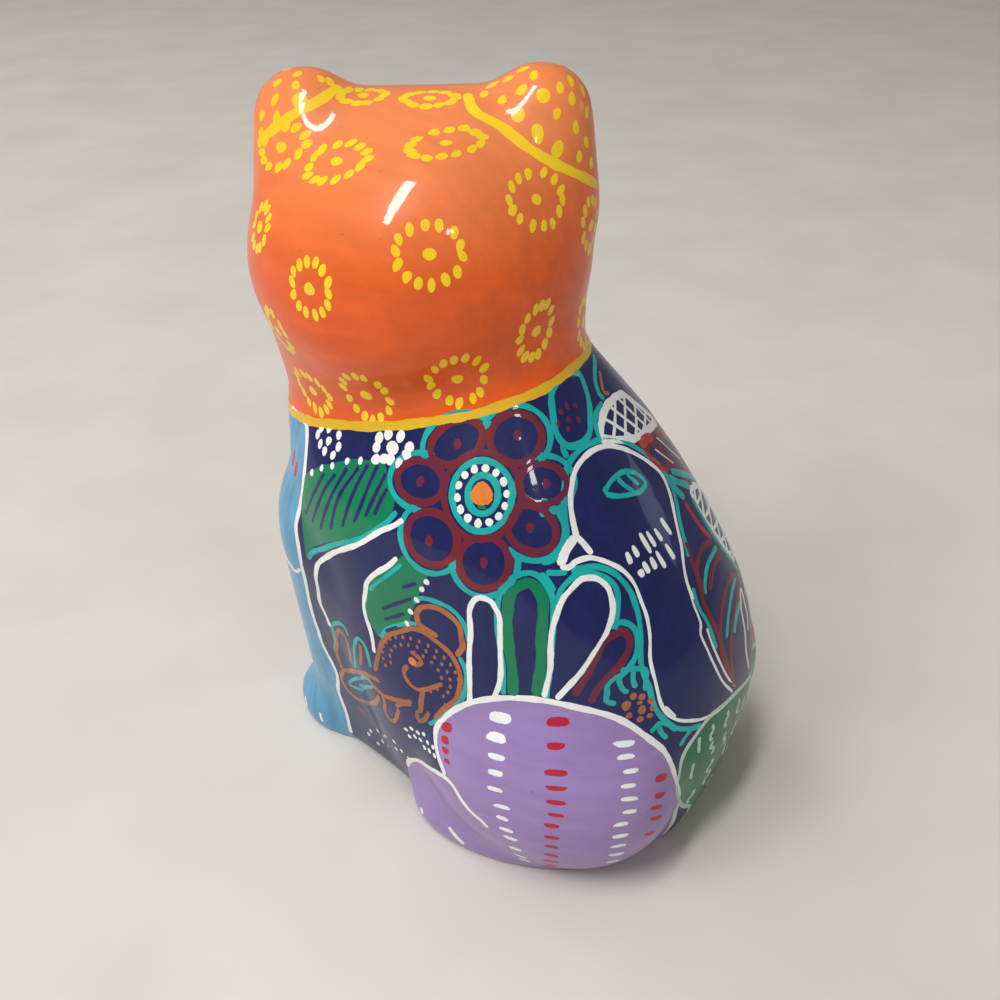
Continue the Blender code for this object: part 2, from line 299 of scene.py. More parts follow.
class Painting:
    """The strokes of one motif, in millimetres until it is finished."""

    def __init__(self, name, seed):
        self.name = name
        self.films = bmesh.new()
        self.paints = []
        self.hand = random.Random(seed)
        self.film = settings()[2].film / MM

    def lay(self, paint, columns, rows, place, layer):
        """One film: place gives a point for each u and v from -1 to 1, and the share of the film there."""
        if paint not in self.paints:
            self.paints.append(paint)
        grid = bmesh.ops.create_grid(self.films, x_segments=columns, y_segments=rows, size=1.0)
        faces = set()
        for vert in grid["verts"]:
            spot, thick = place(vert.co.x, vert.co.y)
            near, normal = settle(spot)
            rise = self.film * (BASE_RISE + LAYER_RISE * layer) * thick if thick > 0 else -SUNK
            vert.co = near + normal * rise
            faces.update(vert.link_faces)
        index = self.paints.index(paint)
        for face in faces:
            face.material_index = index
            face.smooth = True

    def line(self, paint, points, width, where=on_body, closed=False, layer=2, taper=0.0):
        """One stroke along a smooth line through places on the clay."""
        self.stroke(paint, trace(points, where, closed), width, layer, taper, closed)

    def lines(self, paint, width, *paths, layer=2):
        """Strokes of one width on the body."""
        for path in paths:
            self.line(paint, path, width, layer=layer)

    def dabs(self, paint, tall, wide, places, lean=0.0, layer=2, square=0.0):
        """Touches of one size on the body; a place may end with its own height and width."""
        for angle, height, *size in places:
            self.dab(paint, on_body(angle, height), *(size or (tall, wide)), lean, layer, square)

    def stroke(self, paint, line, width, layer=2, taper=0.0, closed=False):
        """One stroke along a line of points. taper is the share of the width lost towards its end."""
        if closed:
            line = [*line, *line[:CLOSING]]
        at, reach = walk(line)
        steps = max(2, round(reach / STROKE_STEP))
        gone = {round(reach * number / steps, 3) for number in range(steps + 1)}
        if not closed:
            tips = [width / 2 * share for share in STROKE_TIP if width * share < reach / 2]
            gone = {far for far in gone if width / 2 < far < reach - width / 2}
            gone |= {0.0, reach, *tips, *(reach - tip for tip in tips)}
        gone = sorted(gone)
        count = len(gone) - 1
        sway, press, swell = (self.hand.uniform(0, 2 * pi) for _ in range(3))
        sections = []
        for far in gone:
            spot = at(far)
            normal = settle(spot)[1]
            ahead = at(min(far + AHEAD, reach)) - at(max(far - AHEAD, 0.0))
            side = normal.cross(ahead).normalized()
            half = width / 2 * (1 + PRESSURE * sin(far * 2 * pi / HAND_WAVE * PRESS_RATE + press)
                                + PRESSURE * SWELL_SHARE * sin(far * 2 * pi / HAND_WAVE * SWELL_RATE + swell))
            half *= 1 - taper * far / reach
            left = min(far, reach - far) / half
            if left < 1 and not closed:
                half *= math.sqrt(max(STROKE_END, 1 - (1 - left) ** 2))
            shift = HAND_SWAY * sin(far * 2 * pi / HAND_WAVE + sway)
            sections.append((spot + side * shift, side, half))

        def place(u, v):
            number = round((u + 1) / 2 * count)
            spot, side, half = sections[number]
            edge = abs(v) > RIM
            aside = 0.0 if abs(v) < 1 - RIM else math.copysign(1.0 if edge else RIDGE, v)
            tip = not closed and number in (0, count)
            thick = 0.0 if edge or tip else 1.0 - STROKE_FALL * abs(aside)
            return spot + side * aside * half / STROKE_FULL, thick
        self.lay(paint, count, STROKE_ROWS, place, layer)

    def dab(self, paint, spot, tall, wide, lean=0.0, layer=2, square=0.0):
        """One touch of the brush: an oval, upright unless it leans, which it does to the left above zero.
        square fills out its corners, up to 1 for a rectangle."""
        middle, normal, right, up = upright(spot)
        turn = Matrix.Rotation(lean, 3, normal)
        right, up = turn @ right, turn @ up
        tall, wide = (size * self.hand.uniform(*DAB_SIZES) for size in (tall, wide))
        skew, pinch = self.hand.uniform(-DAB_SKEW, DAB_SKEW), self.hand.uniform(-DAB_PINCH, DAB_PINCH)

        def place(u, v):
            edge = max(abs(u), abs(v))
            spread = 1.0 if edge > RIM else RIDGE if edge > 1 / DAB_GRID else 0.0
            a, b = (u / edge, v / edge) if spread else (0.0, 0.0)
            y = spread * b * math.sqrt(1 - a * a / 2 * (1 - square))
            x = spread * a * math.sqrt(1 - b * b / 2 * (1 - square)) * (1 + pinch * y) + skew * y
            thick = 0.0 if edge > RIM else 1.0 - edge * DAB_FALL
            return middle + right * x * wide / DAB_FULL + up * y * tall / DAB_FULL, thick
        self.lay(paint, DAB_GRID, DAB_GRID, place, layer)

    def fill(self, paint, one_side, other_side, where=on_body):
        """A flat wash between two lines, its edge turned down into the clay."""
        pair = [trace(side, where) for side in (one_side, other_side)]
        columns = max(3, round(max(walk(side)[1] for side in pair) / WASH_GRAIN))
        pair = [evened(side, columns) for side in pair]
        rows = max(2, round(max((a - b).length for a, b in zip(*pair)) / WASH_GRAIN))
        middle = columns // 2
        ahead, over = pair[0][middle + 1] - pair[0][middle - 1], pair[1][middle] - pair[0][middle]
        if ahead.cross(over).dot(settle(pair[0][middle])[1]) < 0:
            pair.reverse()

        def place(u, v):
            column = round((u + 1) / 2 * (columns + 2)) - 1
            row = round((v + 1) / 2 * (rows + 2)) - 1
            inner = min(max(column, 0), columns), min(max(row, 0), rows)
            one, other = pair[0][inner[0]], pair[1][inner[0]]
            spot = one.lerp(other, inner[1] / rows)
            if inner != (column, row):
                ahead = pair[0][min(inner[0] + 1, columns)] - pair[0][max(inner[0] - 1, 0)]
                spot = spot + (ahead.normalized() * (column - inner[0])
                               + (other - one).normalized() * (row - inner[1])) * EDGE
            return spot, 1.0 if inner == (column, row) else 0.0
        self.lay(paint, columns + 2, rows + 2, place, 0)

    def net(self, paint, one_side, other_side, count, lean):
        """A net between two broad strokes, each in count steps from knot to knot. Threads run from every knot
        of the first to the knots of the other that lie lean steps before and after it."""
        pair = [evened(trace(side), count) for side in (one_side, other_side)]
        for side in pair:
            self.stroke(paint, side, NET_EDGE, layer=1)
        for knot, start in enumerate(pair[0]):
            for other in {max(0, knot - lean), min(count, knot + lean)}:
                self.stroke(paint, evened([start, pair[1][other]], 6), NET_THREAD, layer=1)

    def finish(self):
        """Makes the piece. It is shaded as the lacquer over it lies: almost level with the clay."""
        bmesh.ops.dissolve_degenerate(self.films, dist=SHORTEST, edges=self.films.edges)
        self.films.normal_update()
        level = [settle(vert.co)[1].lerp(vert.normal, RELIEF).normalized() for vert in self.films.verts]
        bmesh.ops.scale(self.films, vec=(MM, MM, MM), verts=self.films.verts)
        mesh = bpy.data.meshes.new(self.name)
        self.films.to_mesh(mesh)
        self.films.free()
        mesh.normals_split_custom_set_from_vertices(level)
        piece = bpy.data.objects.new(self.name, mesh)
        bpy.context.scene.collection.objects.link(piece)
        for paint in self.paints:
            mesh.materials.append(enamel(paint))
        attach(piece, BODY)


# ---- materials
def add_node(tree, kind, values=None, links=None, **attributes):
    """A node with its own settings, its sockets' values and the links into it."""
    node = tree.nodes.new(kind)
    for name, value in attributes.items():
        setattr(node, name, value)
    for name, value in (values or {}).items():
        node.inputs[name].default_value = value
    for name, source in (links or {}).items():
        tree.links.new(source, node.inputs[name])
    return node


def new_material(name):
    material = bpy.data.materials.new(name)
    material.use_nodes = True
    tree = material.node_tree
    shader = tree.nodes["Principled BSDF"]
    place = add_node(tree, "ShaderNodeTexCoord").outputs["Object"]
    return material, tree, shader, place


def per_mm(size):
    """The scale of a pattern whose features are size mm across, on coordinates in metres."""
    return 1 / (size * MM)


def mottle(tree, place, size, detail=3.0, squash=(1.0, 1.0, 1.0), turn=(0.0, 0.0, 0.0)):
    """Cloudy noise, 0 to 1, with features size mm across. A small squash draws it out along that axis."""
    fitted = add_node(tree, "ShaderNodeMapping", {"Scale": squash, "Rotation": turn},
                      {"Vector": place}).outputs["Vector"]
    return add_node(tree, "ShaderNodeTexNoise", {"Scale": per_mm(size), "Detail": detail, "Roughness": 0.55},
                    {"Vector": fitted}).outputs["Fac"]


def between(tree, share, low, high, start=0.0, end=1.0):
    """A value that runs from start to end as share runs from low to high."""
    return add_node(tree, "ShaderNodeMapRange",
                    {"From Min": low, "From Max": high, "To Min": start, "To Max": end},
                    {"Value": share}).outputs["Result"]


def blended(tree, share, first, second):
    """One colour over another. Each is a colour or the output of a node."""
    mix = add_node(tree, "ShaderNodeMix", data_type="RGBA")
    tree.links.new(share, mix.inputs["Factor"])
    for socket, value in (("A", first), ("B", second)):
        socket = next(s for s in mix.inputs if s.name == socket and s.type == "RGBA")
        if isinstance(value, bpy.types.NodeSocket):
            tree.links.new(value, socket)
        else:
            socket.default_value = (*value[:3], 1.0)
    return next(s for s in mix.outputs if s.type == "RGBA")


def shaded(value, share):
    return tuple(max(0.0, min(1.0, part * share)) for part in value[:3])


def toward(value, other, share):
    return tuple(a + (b - a) * share for a, b in zip(value[:3], other[:3]))


LACQUER = {"Metallic": 0.0, "IOR": 1.5, "Specular IOR Level": 0.15, "Coat Weight": 0.42,
           "Coat Roughness": 0.045, "Coat IOR": 1.52}


def lacquer(tree, shader, place):
    """Clear gloss over everything: sharp reflections, with the slow waves of a brushed coat."""
    for name, value in LACQUER.items():
        shader.inputs[name].default_value = value
    waves = mottle(tree, place, 9.0, 1.0)
    peel = mottle(tree, place, 1.4, 2.0)
    slow = add_node(tree, "ShaderNodeBump", {"Strength": 0.20, "Distance": 0.0005}, {"Height": waves})
    fine = add_node(tree, "ShaderNodeBump", {"Strength": 0.05, "Distance": 0.0001},
                    {"Height": peel, "Normal": slow.outputs["Normal"]})
    for name in ("Coat Normal", "Normal"):
        tree.links.new(fine.outputs["Normal"], shader.inputs[name])


SHEEN_START, SHEEN_FULL = 130.0, 154.0   # heights in mm between which the orange of the head gets paler: painted sheen, standing for the soft gloss of the light on top of the head
COAT_EDGE = 0.06              # mm to each side of its outline over which one base coat gives way to the next
CLOUD_SHADE = 0.72            # how light a coat is, beside itself, in its darkest clouds
SPECK = "2A1712"


def glazed_earthenware():
    """Fired clay under brushed base coats and a clear lacquer: deep, streaked colour with sharp gloss."""
    glazes = settings()[0]
    material, tree, shader, place = new_material("glazed_earthenware")
    clouds = mottle(tree, place, 16.0, 3.0)
    round_streaks = mottle(tree, place, 2.6, 4.0, (0.10, 0.10, 1.0))
    slanted_streaks = mottle(tree, place, 3.0, 4.0, (1.0, 0.12, 0.7), (radians(-40.0), 0.0, radians(30.0)))
    down_streaks = mottle(tree, place, 2.4, 4.0, (1.0, 1.0, 0.12))
    specks = mottle(tree, place, 0.9, 1.0)

    def coat(base, streaks, dark, light, patchy):
        """One base coat: thin places darker or lighter along the brush, and slow clouds of cover."""
        streaked = blended(tree, between(tree, streaks, 0.32, 0.72), shaded(base, dark), shaded(base, light))
        cloudy = between(tree, clouds, 0.35, 0.72, 0.0, patchy)
        return blended(tree, cloudy, streaked, shaded(base, CLOUD_SHADE))

    def zone(name):
        depth = add_node(tree, "ShaderNodeAttribute", attribute_name=name).outputs["Fac"]
        return between(tree, depth, -COAT_EDGE, COAT_EDGE)

    navy = coat(glazes.navy, down_streaks, 0.86, 1.25, 0.5)
    # the orange gets paler towards the crown: painted sheen, standing for the soft gloss of the light on top
    # of the head
    height = add_node(tree, "ShaderNodeSeparateXYZ", links={"Vector": place}).outputs["Z"]
    orange = blended(tree, between(tree, height, SHEEN_START * MM, SHEEN_FULL * MM),
                     coat(glazes.orange, slanted_streaks, 0.88, 1.08, 0.40),
                     coat(glazes.crown_sheen, slanted_streaks, 0.92, 1.05, 0.25))
    purple = coat(glazes.purple, round_streaks, 0.93, 1.07, 0.35)
    blue = coat(glazes.blue, down_streaks, 0.80, 1.25, 0.5)
    green = coat(glazes.green, down_streaks, 0.75, 1.2, 0.5)
    skin = navy
    for name, layer in (("chest", blue), ("leg", purple), ("tail", green), ("head", orange)):
        skin = blended(tree, zone(name), skin, layer)
    dusted = blended(tree, between(tree, specks, 0.74, 0.80, 0.0, 0.25), skin, srgb(SPECK))
    tree.links.new(dusted, shader.inputs["Base Color"])
    tree.links.new(between(tree, clouds, 0.3, 0.7, 0.30, 0.42), shader.inputs["Roughness"])
    lacquer(tree, shader, place)
    return material


# share of the coat beneath that shows where each enamel is thin
THIN = {"white": 0.16, "mint": 0.2, "yellow": 0.22, "gold": 0.15, "turquoise": 0.35, "dark_red": 0.45,
        "red": 0.15, "orange": 0.25, "rust": 0.45, "vermilion": 0.3, "leaf": 0.25, "ink": 0.0}
PATCHY = 0.8                  # that share in the slow patches, beside the share in the small thin places


def enamel(name):
    """Hobby enamel laid with a liner brush under the lacquer: full cover in places, thin in others."""
    found = bpy.data.materials.get(name + "_enamel")
    if found:
        return found
    paint = getattr(settings()[1], name)
    ground = settings()[0].orange if name in ("yellow", "gold") else settings()[0].navy
    material, tree, shader, place = new_material(name + "_enamel")
    cover = mottle(tree, place, 2.2, 3.0)
    patches = mottle(tree, place, 14.0, 2.0)
    worn = blended(tree, between(tree, cover, 0.50, 0.80), paint, toward(paint, ground, THIN[name]))
    faded = toward(paint, ground, THIN[name] * PATCHY)
    whole = blended(tree, between(tree, patches, 0.40, 0.75), worn, faded)
    tree.links.new(whole, shader.inputs["Base Color"])
    tree.links.new(between(tree, cover, 0.3, 0.7, 0.28, 0.40), shader.inputs["Roughness"])
    lacquer(tree, shader, place)
    return material


def matt_paper():
    """Pale matt paper: even and plain, with the faintest clouding."""
    material, tree, shader, place = new_material("matt_paper")
    clouds = mottle(tree, place, 60.0, 3.0)
    tree.links.new(blended(tree, between(tree, clouds, 0.3, 0.7), srgb("D9D2CA"), srgb("E1DBD4")),
                   shader.inputs["Base Color"])
    shader.inputs["Roughness"].default_value = 0.9
    return material


# ---- the pieces
TAIL_BACK = 84                # degrees round the body from which TAIL is the tail's upper edge
TAIL_ROOM = 2.5               # mm above the tail that is left free
MM_PER_DEGREE = 0.7           # round the body, near enough, where an outline's distance is measured
FOOT_POINTS = 20              # of the smoothed foot, as far as where the haunch's outline begins
HAUNCH = [(-4, 27), (-8.5, 33), (-8, 38.5), (-1, 43.3), (10, 47.8), (22, 51.2), (33, 52.2), (43, 51.3),
          (50, 48.8), (55, 44.3), (59, 38), (62.5, 28.5), (67, 18), (71, 8), (72, 0)]
FOOT = [(-33, 13.3), (-29, 17), (-23, 20.3), (-13, 24), (-7, 25.7), (-3, 26.3), (0, 25.5), (3, 22.7),
        (6, 20.7), (9, 19.6), (11, 18)]
CHEST = [(-53, 94.5), (-47, 94.8), (-41, 94.8), (-38, 94), (-37, 89.5), (-38, 84), (-43, 77), (-46, 72),
         (-47, 66), (-51, 58), (-58, 46), (-61, 37), (-61, 27), (-64, 19), (-65, 13.5), (-66, 8), (-67, 3)]
TAIL = [(81, 0), (78, 9.5), (72, 14.5), (66, 21), (62, 28), (63, 32), (64, 35), (66, 37.5), (69, 39.7),
        (72, 41.2), (75, 42), (79, 42), (84, 41.5), (90, 40.3), (99, 38), (120, 33), (140, 26), (165, 19),
        (190, 15), (215, 13), (230, 11)]


def across(places):
    """The same places on the other side of the cat."""
    return [(180 - angle, height) for angle, height in places]


SIDES = {1: list, -1: across}   # the cat's left side, where places stay as they are, and its right


def clear_of_tail(places):
    """The places that the tail doesn't cover, with a little room above it."""
    edge = [point for point in TAIL if point[0] >= TAIL_BACK]
    return [(angle, height) for angle, height in places
            if angle < TAIL_BACK or height > np.interp(angle, *zip(*edge)) + TAIL_ROOM]


def inside(outline, angles, heights):
    """Distance in mm from an outline given in degrees and mm, above zero inside it."""
    corners = np.array([(angle * MM_PER_DEGREE, height) for angle, height in outline])
    spots = np.stack([angles * MM_PER_DEGREE, heights], 1)
    nearest = np.full(len(spots), 1e9)
    within = np.zeros(len(spots), bool)
    for a, b in zip(corners, np.roll(corners, -1, 0)):
        along = np.clip(((spots - a) @ (b - a)) / ((b - a) @ (b - a)), 0, 1)
        nearest = np.minimum(nearest, np.linalg.norm(spots - a - along[:, None] * (b - a), axis=1))
        if a[1] != b[1]:
            crossing = a[0] + (spots[:, 1] - a[1]) * (b[0] - a[0]) / (b[1] - a[1])
            within ^= ((a[1] > spots[:, 1]) != (b[1] > spots[:, 1])) & (spots[:, 0] < crossing)
    return np.where(within, nearest, -nearest)


def wrapped(angles, middle):
    """The same angles, each within half a turn of the middle."""
    return (angles - middle + 180) % 360 - 180 + middle


def zones(spots):
    """How far each point of the clay lies inside each base coat, in mm."""
    x, y, height = spots.T
    angle = np.degrees(np.arctan2(y - SPINE_Y + SPINE_LEAN * np.maximum(0, height - SPINE_BEND), x))
    left = wrapped(angle, 30)
    right = wrapped(180 - angle, 30)
    front = -90 + np.abs(wrapped(angle + 90, 0))
    leg = [*smooth_line(HAUNCH, steps=4), (74, -8), (-38, -8), (-36, 8),
           *smooth_line(FOOT, steps=4)[:FOOT_POINTS]]
    chest = [*smooth_line(CHEST, steps=4), (-66, -8), (-140, -8), (-140, 110), (-60, 110)]
    tail = [*smooth_line(TAIL, steps=4), (236, 6), (232, -8), (84, -8)]
    return {
        "head": (height - COLLAR[0] - COLLAR[1] * x - COLLAR[2] * y) / COLLAR_SLANT,
        "leg": np.maximum(inside(leg, left, height), inside(leg, right, height)),
        "chest": inside(chest, front, height),
        "tail": inside(tail, wrapped(angle, 150), height),
    }


# strength and passes of the smoothing, in and out again so that the clay keeps its size
RUBS = ((0.5, 5), (-0.53, 5)) * 4 + ((0.5, 8),)


class CAT_OT_clay(bpy.types.Operator):
    """Makes the glazed clay from the moulded shape, and marks where each base coat goes"""
    bl_idname = "cat.clay"
    bl_label = "Glazed clay"

    def execute(self, context):
        cast_clay = bmesh.new()
        cast_clay.from_mesh(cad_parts[NODE].data)
        bmesh.ops.remove_doubles(cast_clay, verts=cast_clay.verts, dist=SAME_POINT * MM)
        mould = bpy.data.meshes.new("clay_mould")
        cast_clay.to_mesh(mould)
        cast_clay.free()
        clay = bpy.data.objects.new("glazed_clay", mould)
        context.scene.collection.objects.link(clay)
        grain = clay.modifiers.new("grain", "REMESH")
        grain.mode, grain.voxel_size = "VOXEL", settings()[2].grain
        for factor, times in RUBS:
            rub = clay.modifiers.new("rub", "SMOOTH")
            rub.factor, rub.iterations = factor, times
        graph = context.evaluated_depsgraph_get()
        skin = bpy.data.meshes.new_from_object(clay.evaluated_get(graph))
        clay.modifiers.clear()
        clay.data = skin
        skin.name = "glazed_clay"
        bpy.data.meshes.remove(mould)

        spots = np.zeros(len(skin.vertices) * 3)
        skin.vertices.foreach_get("co", spots)
        spots = spots.reshape(-1, 3) / MM
        spots[:, 2] = np.where(spots[:, 2] < UNDERSIDE, 0.0, spots[:, 2])
        skin.vertices.foreach_set("co", (spots * MM).ravel())
        for name, depth in zones(spots).items():
            skin.attributes.new(name, "FLOAT", "POINT").data.foreach_set("value", depth.astype(np.float32))
        skin.shade_smooth()
        skin.update()
        OUTSIDE["spots"] = [Vector(spot) for spot in spots]
        OUTSIDE["faces"] = [tuple(face.vertices) for face in skin.polygons]
        OUTSIDE["normals"] = [vert.normal.copy() for vert in skin.vertices]
        OUTSIDE["tree"] = BVHTree.FromPolygons(OUTSIDE["spots"], OUTSIDE["faces"])
        skin.materials.clear()
        skin.materials.append(glazed_earthenware())
        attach(clay, BODY)
        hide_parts(NODE)
        return {"FINISHED"}


# turn, rise, half width, half height, tilt of the ring, lean of its dabs
ROSETTES = [(6, 18, 6.1, 5.3, 0, 0), (-34, 5, 4.4, 5.2, 0, 0), (21, 55, 7.2, 3.1, 5, -75),
            (-37, 46, 6.2, 4.0, 25, -40), (-65, 42, 5.5, 3.5, 30, -40), (-61, 72, 4.2, 2.6, 0, -75),
            (28, 77, 4.8, 2.6, 0, -80), (50, 28, 6.6, 5.2, 0, -25), (42, -13, 3.9, 5.6, -12, -12),
            (14, -27, 5.4, 5.6, 0, -5), (-24, -38, 5.0, 6.0, 0, 0), (-57, -42, 5.0, 4.6, 0, 20),
            (-64, 17, 3.5, 4.2, 0, -15), (74, 12, 3.5, 5.0, 0, -10), (-58, -17, 3.5, 5.0, 0, 20),
            (72, -20, 3.5, 5.0, 0, -10), (104, 34, 5.0, 5.0, 0, 0), (-102, 32, 5.0, 5.0, 0, 0),
            (106, -20, 5.0, 5.0, 0, 0), (-104, -20, 5.0, 5.0, 0, 0), (180, 52, 5.5, 4.5, 0, 0)]
ROSETTE_DOT = 2.6             # width of the dot in the middle
ROSETTE_DAB = (2.6, 1.65)     # height and width of a dab of the ring


class CAT_OT_rosettes(bpy.types.Operator):
    """Paints the yellow rosettes round the head, each a ring of dabs about one dot"""
    bl_idname = "cat.rosettes"
    bl_label = "Head rosettes"

    def execute(self, context):
        painting = Painting("head_rosettes", 3)
        for turn, rise, wide, tall, tilt, lean in ROSETTES:
            place = chart(on_head(turn, rise))
            squat = min(1.0, 2 * tall / (wide + tall))
            painting.dab("yellow", place(0, 0), ROSETTE_DOT * squat, ROSETTE_DOT)
            dabs = 14 if wide + tall > 9 else 12
            first = painting.hand.uniform(0, 1)
            for number in range(dabs):
                angle = (number + first + painting.hand.uniform(-0.14, 0.14)) * 2 * pi / dabs
                far = painting.hand.uniform(0.94, 1.04)
                spot = turned([(wide * far * cos(angle), tall * far * sin(angle))], tilt)[0]
                slant = radians(lean) + ((angle + radians(tilt)) % pi - pi / 2) * 0.3
                painting.dab("yellow", place(*spot), *ROSETTE_DAB, slant)
        painting.finish()
        return {"FINISHED"}


EAR_STRIPES = {"right": [(0, -8, 160), (4, -4, 158.3), (3, 1.5, 155), (1.7, 7, 151.3), (-2, 11.5, 147.5),
                         (-12, 14, 142)],
               "left": [(11, -29, 161.5), (16.5, -29.8, 160.3), (20.5, -33.5, 158), (22.2, -38, 154.5),
                        (21.8, -42, 151.5)]}
EAR_DOTS = {"right": [(-4, -5, 161), (-1, -5, 160), (-5, -2, 162), (-1, -1, 159), (-3, 2, 161), (-7, 0, 164),
                      (-6, 3, 163), (-4, 6, 160, 3.2, 2.8), (-7, 8, 161), (-10, 9, 162),
                      (0, 3, 157, 2.8, 2.6), (-4, 9, 157), (-8, 10, 159), (0, 7, 154, 3.8, 2.2),
                      (-2, 10, 151, 3.8, 2.4), (-7, 11, 154), (-9, 13, 151), (-6, 13, 149), (-11, 12, 156),
                      (-10, 14, 147), (-12, 11, 160), (-14, 5, 164)],
            "left": [(18, -39, 163), (15, -36, 164), (17, -35, 162), (13, -32, 163), (12, -31, 162),
                     (20, -38, 160), (21, -37, 157), (21, -41, 157), (22, -41, 154), (19, -33, 160, 3.4, 3.0),
                     (13, -40, 164)]}
# the rows of dots on the front of an ear: rise, and turns
EAR_FRONT = ((8, (145, 180, 215)), (32, (135, 165, 195, 225)), (56, (140, 180, 220)))


class CAT_OT_ears(bpy.types.Operator):
    """Paints the yellow stripe across the foot of each ear, and the dots above it"""
    bl_idname = "cat.ears"
    bl_label = "Ears"

    def execute(self, context):
        painting = Painting("ear_paint", 5)
        for name, places in EAR_STRIPES.items():
            painting.line("yellow", places, 2.0, at_point)
            for x, y, height, *size in EAR_DOTS[name]:
                tall, wide = size or (painting.hand.uniform(2.2, 2.9), 1.7)
                painting.dab("yellow", at_point(x, y, height), tall, wide, painting.hand.uniform(-0.5, 0.1))
            for rise, turns in EAR_FRONT:
                for turn in turns:
                    spot = on_ear[name](turn + painting.hand.uniform(-6, 6),
                                        rise + painting.hand.uniform(-5, 5))
                    painting.dab("yellow", spot, 2.3, 1.6, painting.hand.uniform(-0.4, 0.4))
        painting.finish()
        return {"FINISHED"}


class CAT_OT_collar(bpy.types.Operator):
    """Paints the gold line between the head and the body"""
    bl_idname = "cat.collar"
    bl_label = "Collar line"

    def execute(self, context):
        painting = Painting("collar_line", 7)
        line = []
        # the height on the slanting plane depends on where the clay is, so it is found in a few rounds
        for angle in range(0, 360, 4):
            height = COLLAR[0]
            for _ in range(4):
                spot = on_body(angle, height)
                height = COLLAR[0] + COLLAR[1] * spot.x + COLLAR[2] * spot.y
            line.append(on_body(angle, height))
        painting.stroke("gold", line, brush("collar"), layer=3, closed=True)
        painting.finish()
        return {"FINISHED"}


# direction, distance of the middle, half length, half width, distance of the dot
PETALS = [(64, 12.9, 5.1, 4.8, 13.6), (120, 11.6, 3.9, 5.7, 11.2), (171, 12.8, 5.0, 4.1, 12.8),
          (223, 13.2, 5.0, 5.5, 13.9), (275, 13.0, 5.0, 5.1, 13.0), (330, 11.5, 5.0, 4.2, 11.2),
          (15, 11.8, 4.5, 4.0, 12.6)]


def turned(points, angle, size=1.0):
    """Points given along and across a direction, as points of the chart."""
    c, s = cos(radians(angle)) * size, sin(radians(angle)) * size
    return [(along * c - aside * s, along * s + aside * c) for along, aside in points]


def oval(wide, tall, x=0.0, y=0.0, first=0, last=360, number=20):
    """Points of an oval in a chart, from one angle of it to another."""
    angles = [radians(first + (last - first) * k / number) for k in range(number + (last - first < 360))]
    return [(x + wide * cos(angle), y + tall * sin(angle)) for angle in angles]


class CAT_OT_flowers(bpy.types.Operator):
    """Paints the large flower behind each shoulder: petals in dark red, rings and a dotted heart"""
    bl_idname = "cat.flowers"
    bl_label = "Flowers"

    def execute(self, context):
        turquoise, red = brush("turquoise"), brush("red")
        painting = Painting("flowers", 11)
        for angle, height, size in ((40, 92, 1.0), (146, 90, 0.92)):
            place = chart(on_body(angle, height))
            painting.line("dark_red", turned(oval(7.6, 8.5), 0, size), 1.3, place, closed=True, layer=1)
            for petal, far, long, wide, dot in PETALS:
                edge = oval(long + 1.6, wide + 1.6, far, first=-105, last=105)
                painting.line("turquoise", turned(edge, petal, size), turquoise, place, layer=1)
                painting.line("dark_red", turned(oval(long, wide, far), petal, size), red, place, closed=True)
                painting.dab("dark_red", place(*turned([(dot, 0)], petal, size)[0]), 2.2, 1.8)
            painting.line("turquoise", turned(oval(5.9, 6.9), 0, size), 1.3, place, closed=True, layer=3)
            for dot in turned(oval(4.9, 5.4, number=14), 8, size):
                painting.dab("white", place(*dot), 1.8, 1.5, layer=3)
            painting.line("turquoise", turned(oval(3.0, 3.7, 0.1, 0.2), 0, size), 1.3, place, closed=True)
            painting.dab("orange", place(0, 0.4), 5.2 * size, 4.2 * size)
            painting.dab("leaf", place(0.2, -2.2), 0.9, 1.8)
        painting.finish()
        return {"FINISHED"}


